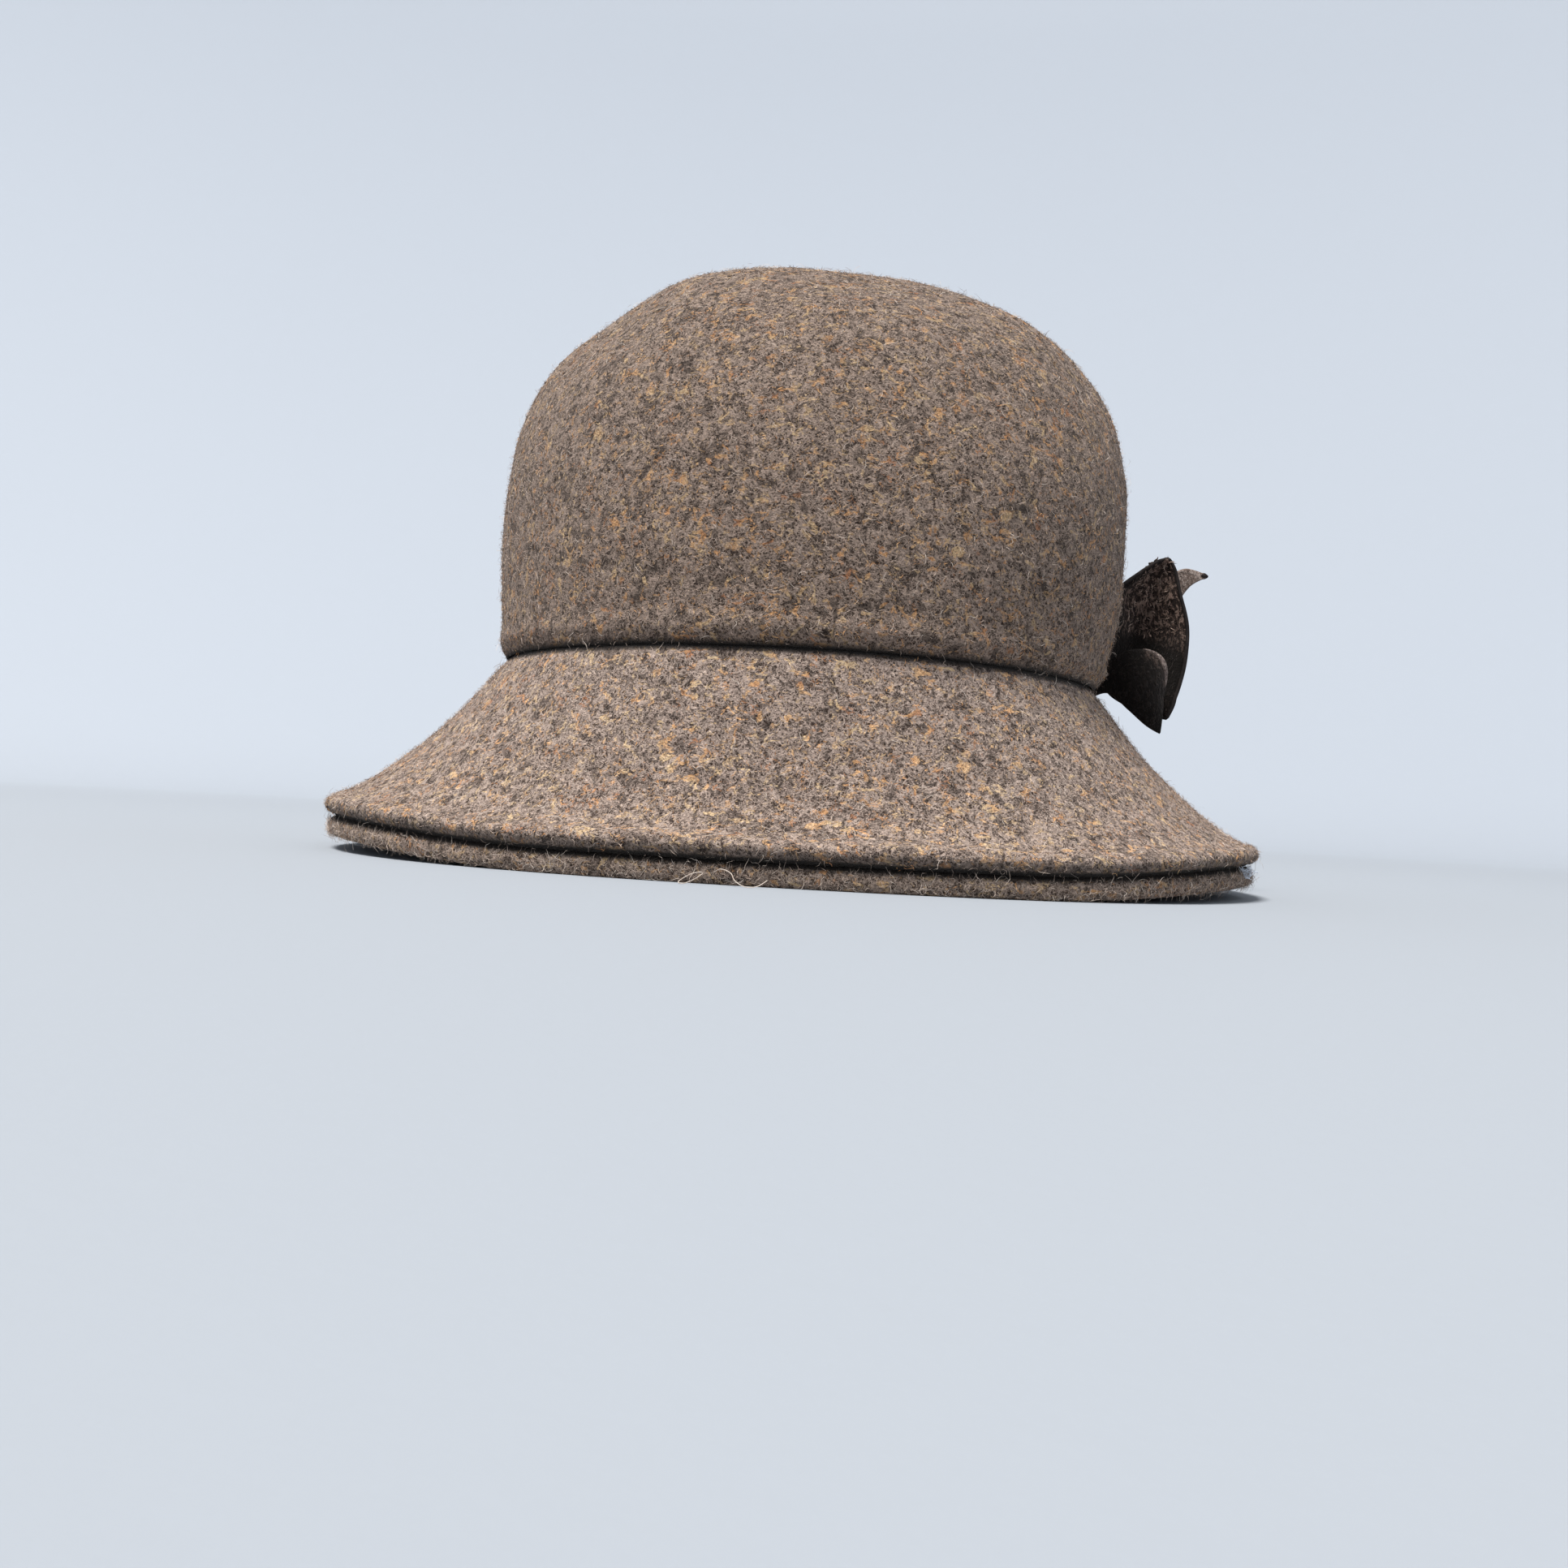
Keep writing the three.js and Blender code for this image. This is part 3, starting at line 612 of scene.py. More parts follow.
def tweed_color(cloth):
    """Brown and beige strands with ochre and rust flecks, and the height of the fibres."""
    light, dark = fibre_pile(cloth)
    fine = cloth.noise(0.7, 3, 0.65, 0.4)
    color = cloth.ramp(fine, [(0.39, DARK_BROWN), (0.475, BROWN), (0.56, TAUPE), (0.655, BEIGE)])
    color = cloth.mix(cloth.times(dark, GAP_STRENGTH), color, DARK_BROWN)
    color = cloth.mix(cloth.times(light, FIBRE_STRENGTH), color, BEIGE)
    # Darker and lighter wool lies in small mottles and in larger loose patches.
    mottle = cloth.noise(2.3, 3, 0.6, 0.8)
    color = cloth.mix(cloth.mask(mottle, 0.51, 0.66), color, cloth.mix(0.42, color, BEIGE))
    color = cloth.mix(cloth.mask(mottle, 0.48, 0.34), color, cloth.mix(0.68, color, DARK_BROWN))
    patch = cloth.noise(5.2, 3, 0.6, 0.6)
    color = cloth.mix(cloth.mask(patch, 0.53, 0.68), color, cloth.mix(0.6, color, DARK_BROWN))
    # Flecks of dyed wool keep the light and shade of their fibres.
    hue = cloth.ramp(cloth.noise(6.5, 1), [(0.3, RUST), (0.4, OCHRE), (0.58, STRAW)])
    shadow = cloth.ramp(fine, [(0.32, (0.34, 0.27, 0.22)), (0.55, (1.0, 1.0, 1.0))])
    dyed = cloth.mix(1.0, hue, shadow, "MULTIPLY")
    for size, low, high, strength in FLECKS:
        blob = cloth.noise(size, 3, 0.65, 0.9, cloth.turned((12, 9, 31), (1.35, 1, 1)))
        amount = cloth.times(cloth.mask(blob, low, high), strength)
        color = cloth.mix(amount, color, dyed)
    height = cloth.math("ADD", cloth.times(fine, 0.6), cloth.times(light, 0.35))
    return color, cloth.math("SUBTRACT", height, cloth.times(dark, 0.3))


def tweed(name, tone):
    """Brushed wool for the crown and the top of the brim, each in its own tone. The tones are painted
    light: the brim is painted lighter than the crown, as it faces up into the light.
    """
    cloth = Cloth(name, sheen=0.1, sheen_tint=(0.9, 0.8, 0.72))
    color, height = tweed_color(cloth)
    color = cloth.mix(1.0, color, tone, "MULTIPLY")
    # Painted shade: dark in the gaps between layers and under edges.
    color = cloth.mix(cloth.attribute("painted_shade"), color, PAINTED_SHADE_BROWN)
    return cloth.finish(color, height, 0.7, 0.8)


def facing_tweed():
    """The same wool for the facing, plainer towards the head, and darker there as painted shade on the
    brim's underside.
    """
    cloth = Cloth("facing_tweed", sheen=0.1, sheen_tint=(0.8, 0.65, 0.55))
    outer, height = tweed_color(cloth)
    stops = [(0.3, (0.016, 0.010, 0.008)), (0.5, (0.060, 0.036, 0.026)), (0.72, (0.13, 0.08, 0.056))]
    inner = cloth.ramp(cloth.noise(1.6, 3, 0.6), stops)
    # Painted shade: the underside towards the head is painted darker, as it lies in shade.
    color = cloth.mix(cloth.attribute("under"), outer, inner)
    # Painted shade: dark in the gaps between layers and under the turned edges.
    color = cloth.mix(cloth.attribute("painted_shade"), color, PAINTED_SHADE_BROWN)
    return cloth.finish(color, height, 0.7, 0.8)


def wool(name, colors, size=1.3):
    """Dyed fibre whose tone changes from place to place."""
    cloth = Cloth(name, roughness=0.85, specular=0.2)
    places = np.linspace(0.32, 0.68, len(colors)).tolist()
    tone = cloth.ramp(cloth.noise(size, 2, 0.6), list(zip(places, colors)))
    return cloth.finish(tone, cloth.noise(0.2), 0.02, 0.3)


BAND_RIBS = 620.0  # in the whole turn


def ribbed_band():
    """Dark grosgrain ribbon with ribs that run up the band."""
    cloth = Cloth("ribbed_band", roughness=0.7, sheen=0.15, specular=0.3)
    split = cloth.add("ShaderNodeSeparateXYZ", {0: cloth.place})
    turn = cloth.math("ARCTAN2", split.outputs[0], split.outputs[1])
    rib = cloth.math("SINE", cloth.times(turn, BAND_RIBS))
    stops = [(0.3, (0.008, 0.008, 0.012)), (0.7, (0.026, 0.027, 0.038))]
    tone = cloth.ramp(cloth.noise(0.6, 2, 0.6), stops)
    return cloth.finish(tone, rib, 0.18, 0.6)


def leaf_cloth(name, low, middle, high):
    """Dark loosely woven wool with lighter slubs, painted black in its hollow as painted shade."""
    cloth = Cloth(name, sheen=0.12, sheen_tint=(0.6, 0.5, 0.45))
    slant = cloth.noise(1, 2, 0.6, 0.5, cloth.turned((0, 75, 8), (2.2, 0.8, 0.8)))
    fine = cloth.noise(0.4, 2, 0.6)
    weave = cloth.math("ADD", cloth.times(slant, 0.65), cloth.times(fine, 0.35))
    color = cloth.ramp(weave, [(0.42, low), (0.54, middle), (0.68, high)])
    slub = cloth.noise(1.4, 2, 0.5, 0.4, cloth.turned((0, 0, 12), (1, 1, 1.4)))
    amount = cloth.times(cloth.mask(slub, 0.53, 0.6), cloth.mask(weave, 0.32, 0.5))
    color = cloth.mix(cloth.times(amount, 0.85), color, high)
    # Painted shade: black in the leaf's hollow.
    color = cloth.mix(cloth.attribute("painted_leaf_shade"), color, PAINTED_SHADE_BROWN)
    height = cloth.math("ADD", weave, cloth.times(amount, 0.4))
    return cloth.finish(color, height, 0.9, 0.8)


CROWN_TWEED = tweed("crown_tweed", CROWN_TONE)
BRIM_TWEED = tweed("brim_tweed", BRIM_PAINTED_LIGHT)
FACING = facing_tweed()
BAND = ribbed_band()
LEAF = leaf_cloth("leaf_cloth", (0.008, 0.005, 0.0045), (0.028, 0.017, 0.013), (0.22, 0.15, 0.118))
PALE_LEAF = leaf_cloth("pale_leaf_cloth", (0.10, 0.072, 0.058), (0.20, 0.15, 0.125), (0.36, 0.29, 0.25))
# The inner leaf's fold is painted paler than the leaf, as a painted highlight where light from above
# catches it.
FOLD_PAINTED_HIGHLIGHT = leaf_cloth("fold_leaf_cloth", (0.07, 0.052, 0.045), (0.17, 0.13, 0.115), (0.31, 0.25, 0.22))
LIGHT_WOOL = wool("light_wool", (TAUPE, BEIGE, (0.48, 0.38, 0.31)))
DARK_WOOL = wool("dark_wool", (DARK_BROWN, (0.05, 0.032, 0.024)))
OCHRE_WOOL = wool("ochre_wool", (RUST, OCHRE, STRAW), 4)
HAIR = wool("hair", (BEIGE, (0.66, 0.58, 0.50)))
BLACK_WOOL = wool("black_wool", ((0.008, 0.006, 0.006), (0.022, 0.016, 0.014)))
SLUB_WOOL = wool("slub_wool", ((0.10, 0.063, 0.048), (0.21, 0.145, 0.115), (0.36, 0.28, 0.23)))
LINT = wool("lint", ((0.55, 0.60, 0.68), (0.72, 0.76, 0.82)))
THREAD = wool("thread", ((0.014, 0.013, 0.015), (0.03, 0.028, 0.032)))


# Crown

PAINTED_SHADE_REACH = 0.7  # painted shade darkens the gap under an edge over this height
EDGE_ROUND = 4.4  # height over which the lower edge turns in
EDGE_TURN = 1  # how far it turns in
EDGE_SWELL = 0.8  # how far the folded edge stands out above that
SWELL_HEIGHT = 5  # where it stands out most
SWELL_SPREAD = 3.6
EDGE_DROP = 0.85  # the lowest row's drop, as a share of the lip
LIP_ROWS = ((1.2, 1.1), (1.5, 0.95), (1.9, 0.6), (2.1, 0.3))  # depth, and drop as a share of the lip
SECTION_LENGTH = 175  # of the crown, from the seam to its top
CROWN_LUMPS = ((26, 0.55), (11, 0.28), (5, 0.14))  # unevenness: size and height


def crown_steps():
    """Steps from the seam to the top, closest at the turned edge."""
    edge = 0.03
    return np.concatenate([np.linspace(0, edge, 12), np.linspace(edge, 1, CROWN_ROWS)[1:-1]])


def crown_grid():
    a, t = np.meshgrid(AZIMUTHS, crown_steps()[::-1])
    height = t * SECTION_LENGTH
    near = np.clip(1 - height / EDGE_ROUND, 0, 1)
    turned = EDGE_TURN * (1 - np.sqrt(1 - near**2))
    swell = EDGE_SWELL * bump(height - SWELL_HEIGHT, SWELL_SPREAD)
    outer = crown_point(a, t, turned - swell)
    outer[-1, :, 2] -= CROWN_LIP * EDGE_DROP
    return outer


def roughened(grid, layers, seed, keep=1):
    """A grid with soft unevenness. Each layer is a size of lump and a height."""
    rise = sum(height * lumps(grid, size, seed + 17 * i) for i, (size, height) in enumerate(layers))
    return grid + normals_of(grid) * (rise * keep)[..., None]


def make_crown():
    outer = roughened(crown_grid(), CROWN_LUMPS, 3)
    a = AZIMUTHS[None]
    lips = []
    for depth, drop in LIP_ROWS:
        lip = crown_point(a, np.zeros_like(a), depth)
        lip[..., 2] -= CROWN_LIP * drop
        lips.append(lip)
    a, t = np.meshgrid(AZIMUTHS, np.arange(CROWN_INNER_ROWS) / CROWN_INNER_ROWS)
    inner = crown_point(a, t, CROWN_WALL)
    grid = np.concatenate([outer, *lips, inner])
    top = crown_skin(np.zeros(1), np.ones(1))
    under = top - [0, 0, CROWN_WALL]
    points = np.concatenate([grid.reshape(-1, 3), top, under])
    faces = capped_faces(len(grid), COLUMNS)
    piece = make("crown_shell", points, faces, CROWN_TWEED, "tweed", "crown")
    height = crown_steps()[::-1] * SECTION_LENGTH
    # Painted shade: dark at the crown's lower edge and under its lip, and half dark on its inside.
    painted_shade = smooth(height, PAINTED_SHADE_REACH, PAINTED_SHADE_REACH / 4)
    shade(piece, "painted_shade", np.concatenate([painted_shade, np.ones(len(lips)), np.full(CROWN_INNER_ROWS, 0.5)]))
    return outer, 1 - painted_shade


# Brim

RIM_WOBBLE = 0.5  # unevenness of the two turned edges
UPPER_SWELL = 0.5  # the upper turned edge stands out further than a half round
RIM_CREST = 0.5  # and a little higher
CREST_SPREAD = 0.05  # as a share of the brim
FACING_TUCK = 0.9  # the lower one lies this far behind it
BRIM_LUMPS = ((24, 0.5), (10, 0.3), (5, 0.16))  # unevenness: size and height
FINE_PUCKER = 0.22  # small puckers between the main ones
STEP_POWER = 1.25


def brim_steps(count):
    """Rows of steps from the seam to the rim, closest at the rim."""
    steps = 1 - (1 - np.linspace(0, 1, count)) ** STEP_POWER
    return np.repeat(steps[:, None], COLUMNS, 1)


def rim_roll(top, swell):
    """A half round edge below its top points that swells further out, as (out, z) rows."""
    turn = np.linspace(0, math.pi, ROLL_ROWS)[1:-1, None]
    out = top[..., 0] + (RIM_ROLL / 2 + swell) * np.sin(turn)
    return np.stack([out, top[..., 1] - RIM_ROLL / 2 * (1 - np.cos(turn))], -1)


def rim_wobble(a):
    return RIM_WOBBLE * sum(np.sin(k * a + k * k) / k for k in (4, 7, 11, 17, 29))


def make_brim_top():
    m = Meridian(AZIMUTHS[None])
    t = brim_steps(BRIM_ROWS)
    seam = around(SEAM_HEIGHT, AZIMUTHS)[None]
    down = m.curve(t)
    down[..., 1] += RIM_CREST * bump(t - 1, CREST_SPREAD)
    roll = rim_roll(down[-1], rim_wobble(AZIMUTHS) + UPPER_SWELL)
    back_t = brim_steps(JOIN_ROWS)[::-1]
    back = m.under(back_t, layer_depth(back_t))
    outside = -(CROWN_WALL + GAP)
    inside = outside - BRIM_WALL
    head = np.concatenate([m.flat(outside, seam + COLLAR_HEIGHT), m.flat(outside, seam - GAP)])
    tail = np.concatenate([m.flat(inside, seam), m.flat(inside, seam + COLLAR_HEIGHT)])
    shown = m.place(np.concatenate([down, roll]))
    keep = np.concatenate([smooth(t[:, 0], 0, 0.12), np.linspace(1, 0, ROLL_ROWS - 2)])[:, None]
    shown = roughened(shown, BRIM_LUMPS, 41, keep)
    grid = np.concatenate([m.place(head), shown, m.place(back), m.place(tail)])
    faces = ring_faces(len(grid), COLUMNS, True)
    piece = make("brim_top_shell", grid, faces, BRIM_TWEED, "tweed", "brim_top")
    # Painted shade: dark in the gap under the crown's edge, on the underside of the upper turned edge,
    # and over the collar and the layers out of sight.
    way = np.linalg.norm(down[:, 0] - down[0, 0], axis=-1)
    turn = np.linspace(0, 1, ROLL_ROWS)[1:-1]
    roll_painted_shade = 0.5 * smooth(turn, 0.3, 0.6) + 0.5 * smooth(turn, 0.68, 0.86)
    painted_shade = np.concatenate([smooth(way, 2 * PAINTED_SHADE_REACH, PAINTED_SHADE_REACH / 2), roll_painted_shade])
    painted_shade_rows = np.ones(len(grid))
    painted_shade_rows[2:2 + len(painted_shade)] = painted_shade
    shade(piece, "painted_shade", painted_shade_rows)
    return shown, 1 - painted_shade


def pucker(a, t):
    depth = 0
    for at, spread, share in FOLDS:
        depth = depth + FOLD_DEPTH * share * bump(turn_between(a, math.radians(at)), math.radians(spread))
    fine = FINE_PUCKER * np.sin(37 * a + 2 * np.sin(5 * a)) * np.sin(TURN * t) ** 2
    return (depth + fine) * np.sin(math.pi * t) ** FOLD_FULLNESS


def make_facing():
    m = Meridian(AZIMUTHS[None])
    t = brim_steps(JOIN_ROWS)
    down = m.under(t, layer_depth(t) + LAYER_GAP)
    roll = rim_roll(down[-1], rim_wobble(AZIMUTHS + 1.9) - FACING_TUCK)
    bottom = rim_bottom(AZIMUTHS)[None]
    edge = m.reach - RIM_ROLL / 2
    last = m.step_at(edge - RIM_FOOT - RIM_ROLL / 2)
    t = last * (1 - np.linspace(0, 1, UNDER_ROWS)[:, None])
    back = m.under(t, 2 * layer_depth(t) + LAYER_GAP + pucker(AZIMUTHS[None], t))
    foot_rows = [m.flat(edge - RIM_FOOT * s, bottom) for s in (0, 0.5, 1)]
    grid = m.place(np.concatenate([down, roll, *foot_rows, back]))
    grid[..., 2] = np.maximum(grid[..., 2], 0)
    faces = ring_faces(len(grid), COLUMNS, True)
    piece = make("brim_facing_shell", grid, faces, FACING, "tweed_under", "brim_facing")
    first = JOIN_ROWS + ROLL_ROWS + 1
    # Painted shade: the underside is painted darker from the turned edge towards the head.
    under = np.zeros(len(grid))
    under[first:] = smooth(np.arange(len(grid) - first) / UNDER_ROWS, 0.02, 0.35)
    shade(piece, "under", under)
    # Painted shade: dark on the join rows between the layers and at the top of the turned edge, in the
    # groove under the upper one.
    painted_shade = smooth(np.linspace(0, 1, ROLL_ROWS)[1:-1], 0.36, 0.1)
    painted_shade_rows = np.zeros(len(grid))
    painted_shade_rows[:JOIN_ROWS] = 1
    painted_shade_rows[JOIN_ROWS:JOIN_ROWS + len(painted_shade)] = painted_shade
    shade(piece, "painted_shade", painted_shade_rows)
    return grid[JOIN_ROWS:JOIN_ROWS + len(painted_shade)], 1 - painted_shade, grid[first:]


BAND_ROWS = 24
BAND_WAVE = 0.35  # how far the band's upper edge waves inwards
BAND_STITCHES = 120
STITCH_TURN = 0.022  # length of a stitch as a turn round the band
STITCH_HEIGHT = 1.6  # above the seam
STITCH_RADII = (0.1, 0.22, 0.1)
STITCH_STAND = 0.12


def make_sweatband():
    m = Meridian(AZIMUTHS[None])
    outside = -(CROWN_WALL + GAP) - BRIM_WALL - GAP
    bottom = around(SEAM_HEIGHT, AZIMUTHS)[None] - (LIP_CLEARANCE - GAP)
    s = np.linspace(0, 1, BAND_ROWS)[:, None]
    wave = BAND_WAVE * np.sin(9 * AZIMUTHS + 1)[None] * s**2
    outer = m.flat(outside - BAND_LEAN * s * s - np.abs(wave), bottom + BAND_HEIGHT * s)
    inner = m.flat(outer[..., 0] - BAND_WALL, outer[..., 1])
    grid = m.place(np.concatenate([outer[::-1], inner]))
    faces = ring_faces(len(grid), COLUMNS, True)
    make("sweatband_ribbon", grid, faces, BAND, "band_cloth", "sweatband")
    stitches = []
    for k in range(BAND_STITCHES):
        a = k * TURN / BAND_STITCHES
        way = Meridian(np.array([a, a + STITCH_TURN]))
        height = around(SEAM_HEIGHT, way.a) + STITCH_HEIGHT
        ends = way.place(way.flat(outside - BAND_WALL - STITCH_STAND, height))
        stitches.append(tube([ends[0], ends.mean(0), ends[1]], STITCH_RADII, 6))
    make("sweatband_stitches", *joined(stitches), THREAD, "band_cloth")


# Ornament

FRONT_LEAF = {
    "from_out": (0.74, 0.3, 0.03, 0, 0, 0.02, 0.28, 0.5),
    "from_up": (-0.12, -0.02, 0.14, 0.34, 0.52, 0.7, 0.84, 0.93),
    "to_out": (0.92, 1, 1, 0.96, 0.9, 0.78, 0.7, 0.61),
    "to_up": (-0.14, -0.02, 0.14, 0.32, 0.5, 0.7, 0.87, 0.95),
    "along": (0, 0, 0, 0, 0.01, 0.02, 0.03, 0.03),
    "cup": (0.1, 0.5, 0.9, 1, 0.9, 0.65, 0.35, 0.05),
}
INNER_LEAF = {
    "from_out": (0.03, 0.2, 0.42, 0.64, 0.82),
    "from_up": (-0.02, 0, -0.1, -0.2, -0.25),
    "to_out": (0.03, 0.2, 0.44, 0.66, 0.82),
    "to_up": (0.2, 0.29, 0.31, 0.24, 0.06),
    "along": (0, -0.03, -0.05, -0.04, -0.01),
    "cup": (0, -0.15, -0.3, -0.3, -0.1),
}
BACK_LEAF = {
    "from_out": (0.04, 0.2, 0.28, 0.28, 0.2, 0.1),
    "from_up": (-0.08, -0.16, -0.2, -0.2, -0.13, 0),
    "to_out": (-0.04, 0, 0.03, 0.02, 0, 0.04),
    "to_up": (0.08, 0.2, 0.28, 0.27, 0.18, 0.08),
    "along": (0, 0.14, 0.34, 0.54, 0.74, 0.92),
    "cup": (0, 0, 0, 0, 0, 0),
}
TIP_LEAF = {
    "from_out": (0.16, 0.3, 0.42, 0.53, 0.66, 0.83),
    "from_up": (-0.06, 0.18, 0.37, 0.53, 0.66, 0.72),
    "to_out": (0, 0.1, 0.24, 0.38, 0.58, 0.82),
    "to_up": (0.02, 0.3, 0.5, 0.7, 0.78, 0.745),
    "along": (0, -0.08, -0.16, -0.22, -0.26, -0.28),
    "cup": (0, 0, 0, 0, 0, 0),
}
LEAF_ROWS = 56
LEAF_COLUMNS = 34
WRINKLE_SIZES = (4.5, 2.4)
LEAF_EDGE = 2.5  # rows over which a leaf's edge is rounded
PAINTED_SHADE_AT = 0.36  # place along a leaf of the painted shade in its hollow
BINDING_RADIUS = 0.6
FOLD_START = 26  # row of the inner leaf at which its pale fold starts
FOLD_RADIUS = 1.35
KNOB_RADIUS = 1.05
KNOT_GATHER = 0.07
SLUB_START = 25  # row of a leaf above which it has slubs
FRONT_FOOT = (0, 0, 0)  # along, up, out
INNER_FOOT = (-(LEAF_WALL + GAP), 0, 0)
BACK_FOOT = (KNOT_START + KNOT_LENGTH + GAP, KNOT_UP, KNOT_REACH / 2)
TIP_FOOT = (KNOT_START + KNOT_LENGTH / 2, KNOT_UP, KNOT_REACH + GAP - LEAF_WALL / 2)


def crown_bulge(a, z):
    """How far out of the seam line the crown stands at a height in its lower half."""
    t = last_before(lambda t: crown_point(a, t, 0)[..., 2] < z, a.shape, 0.5)
    p = crown_point(a, t, 0)
    seam = seam_point(a)
    stand = np.hypot(p[..., 0], p[..., 1] + SEAM_FORWARD)
    return stand - np.hypot(seam[..., 0], seam[..., 1] + SEAM_FORWARD)


def beside(along, up, out):
    """A place beside the crown, or on the brim where it would reach into the brim."""
    along, up, out = np.broadcast_arrays(*(np.asarray(v, float) for v in (along, up, out)))
    a = math.radians(ORNAMENT_AZIMUTH) + along / (SEAM_LENGTH / 2)
    m = Meridian(a)
    rest = m.curve(m.step_at(out))[..., 1] + LEAF_WALL + GAP
    z = np.maximum(around(SEAM_HEIGHT, a) + up, rest)
    return m.place(m.flat(crown_bulge(a, z) + GAP + out, z))


def leaf_sheet(table, foot, t, q):
    """The middle of a leaf: t runs up it and q from its edge at the crown to the far one."""
    t, q = np.broadcast_arrays(t, q)
    value = {key: between(column, t) for key, column in table.items()}
    cup = LEAF_CUP * value["cup"] * np.sin(math.pi * q)
    along = foot[0] + LEAF_LENGTH * value["along"] + cup
    up = foot[1] + LEAF_HEIGHT * (value["from_up"] + (value["to_up"] - value["from_up"]) * q)
    out = foot[2] + LEAF_REACH * (value["from_out"] + (value["to_out"] - value["from_out"]) * q)
    return beside(along, up, out + LEAF_WALL / 2)


def leaf_painted_shade(t, q):
    """Painted shade on a large leaf: dark in its cup, over its lower half and along its edge at the
    crown.
    """
    cup = bump(t - PAINTED_SHADE_AT, 0.24) * bump(q - 0.4, 0.55)
    edge = smooth(q, 0.2, 0.09) * smooth(t, 0.3, 0.5)
    low = smooth(t, 0.56, 0.34)
    return np.clip(1.05 * cup + 0.85 * edge + 0.72 * low, 0, 1)


def inner_leaf_painted_shade(t, q):
    """Painted shade on the small inner leaf: dark all over but for the far end of its fold."""
    return 0.97 - 0.5 * smooth(q, 0.75, 1) * smooth(t, 0.4, 0.6)


def back_leaf_painted_shade(t, q):
    """Painted shade on the leaf that lies back: dark where it comes out of the knot."""
    return 0.8 * smooth(t, 0.3, 0.05)


def leaf_piece(part, table, foot, surface, crease, seed, darkness=leaf_painted_shade):
    """A leaf of thick cloth: both faces with a rounded edge. Returns its middle sheet and normals."""
    t = np.linspace(0, 1, LEAF_ROWS)[:, None]
    q = np.linspace(0, 1, LEAF_COLUMNS)[None]
    sheet = leaf_sheet(table, foot, t, q)
    down, across = np.gradient(sheet, axis=(0, 1))
    normal = unit(np.cross(across, down))
    large, small = WRINKLE_SIZES
    wrinkle = lumps(sheet * [1, 1, 0.35], large, seed) + 0.5 * lumps(sheet, small, seed + 9)
    inner = np.sin(math.pi * q) ** 0.5 * np.sin(math.pi * np.clip(t, 0.02, 0.98)) ** 0.5
    sheet = sheet + normal * (crease * wrinkle * inner)[..., None]
    edge = np.minimum(np.minimum(t, 1 - t) * LEAF_ROWS, np.minimum(q, 1 - q) * LEAF_COLUMNS) / LEAF_EDGE
    wall = LEAF_WALL / 2 * np.sqrt(1 - (1 - np.clip(edge, 0, 1)) ** 2)
    front = sheet + normal * wall[..., None]
    back = sheet - normal * wall[..., None]
    ring = np.concatenate([front, back[:, -2:0:-1]], 1)
    faces = ring_faces(LEAF_ROWS, ring.shape[1], False)[:, ::-1]
    name = f"leaf_{part}"
    piece = make(name, ring, faces, surface, "leaf_cloth", f"ornament_{name}")
    # Painted shade on the dark leaves, read by their material.
    if surface is LEAF:
        dark = np.broadcast_to(darkness(t, q), sheet.shape[:2])
        paint(piece, "painted_leaf_shade", np.concatenate([dark, dark[:, -2:0:-1]], 1))
    weld(piece)
    return sheet, normal


def edge_path(sheet, count):
    """The outline of a sheet as evenly spaced points."""
    loop = np.concatenate([sheet[0], sheet[1:, -1], sheet[-1, -2::-1], sheet[-2:0:-1, 0]])
    return evenly(np.concatenate([loop, loop[:1]]), count + 1)[:-1]


def evenly(path, count):
    step = np.linalg.norm(np.diff(path, axis=0), axis=1)
    place = np.concatenate([[0], np.cumsum(step)])
    wanted = np.linspace(0, place[-1], count)
    return np.stack([np.interp(wanted, place, path[:, k]) for k in range(3)], -1)


def make_ornament():
    front, front_normal = leaf_piece("front", FRONT_LEAF, FRONT_FOOT, LEAF, 0.35, 5)
    inner, _ = leaf_piece("inner", INNER_LEAF, INNER_FOOT, LEAF, 0.25, 21, inner_leaf_painted_shade)
    back, back_normal = leaf_piece("back", BACK_LEAF, BACK_FOOT, LEAF, 0.4, 33, back_leaf_painted_shade)
    tip, _ = leaf_piece("tip", TIP_LEAF, TIP_FOOT, PALE_LEAF, 0.2, 47)
    bindings = joined(tube(edge_path(v, 150), BINDING_RADIUS, 8, True) for v in (front, back))
    make("leaf_bindings", *bindings, BLACK_WOOL, "leaf_cloth")
    make_pale_fold(inner)
    make_knob(tip)
    make_knot()
    make_leaf_fibres("front", front, front_normal)
    make_leaf_fibres("back", back, back_normal)


def make_pale_fold(inner):
    """The rolled edge of the inner leaf, thickest past its middle, in paler cloth as a painted highlight.
    """
    fold = evenly(inner[FOLD_START:-1, -1], 60)
    share = np.linspace(0, 1, len(fold))
    fold[:, 1] += 0.25 * np.sin(9 * share)
    thin = 0.3
    radius = thin + (FOLD_RADIUS - thin) * np.sin(math.pi * share**1.5) ** 0.8
    make("leaf_pale_fold", *tube(fold, radius, 10), FOLD_PAINTED_HIGHLIGHT, "leaf_cloth")


def make_knob(tip):
    """The dark knob in which the small leaf ends."""
    end = tip[-7:].mean(1)
    end = np.concatenate([end, end[-1:] + unit(end[-1:] - end[-3:-2]) * 0.8])
    turn = np.linspace(0.1, math.pi - 0.2, 12)
    thin = 0.1
    radius = thin + (KNOB_RADIUS - thin) * np.sin(turn)
    make("leaf_tip_knob", *tube(evenly(end, len(turn)), radius, 12), BLACK_WOOL, "leaf_cloth")


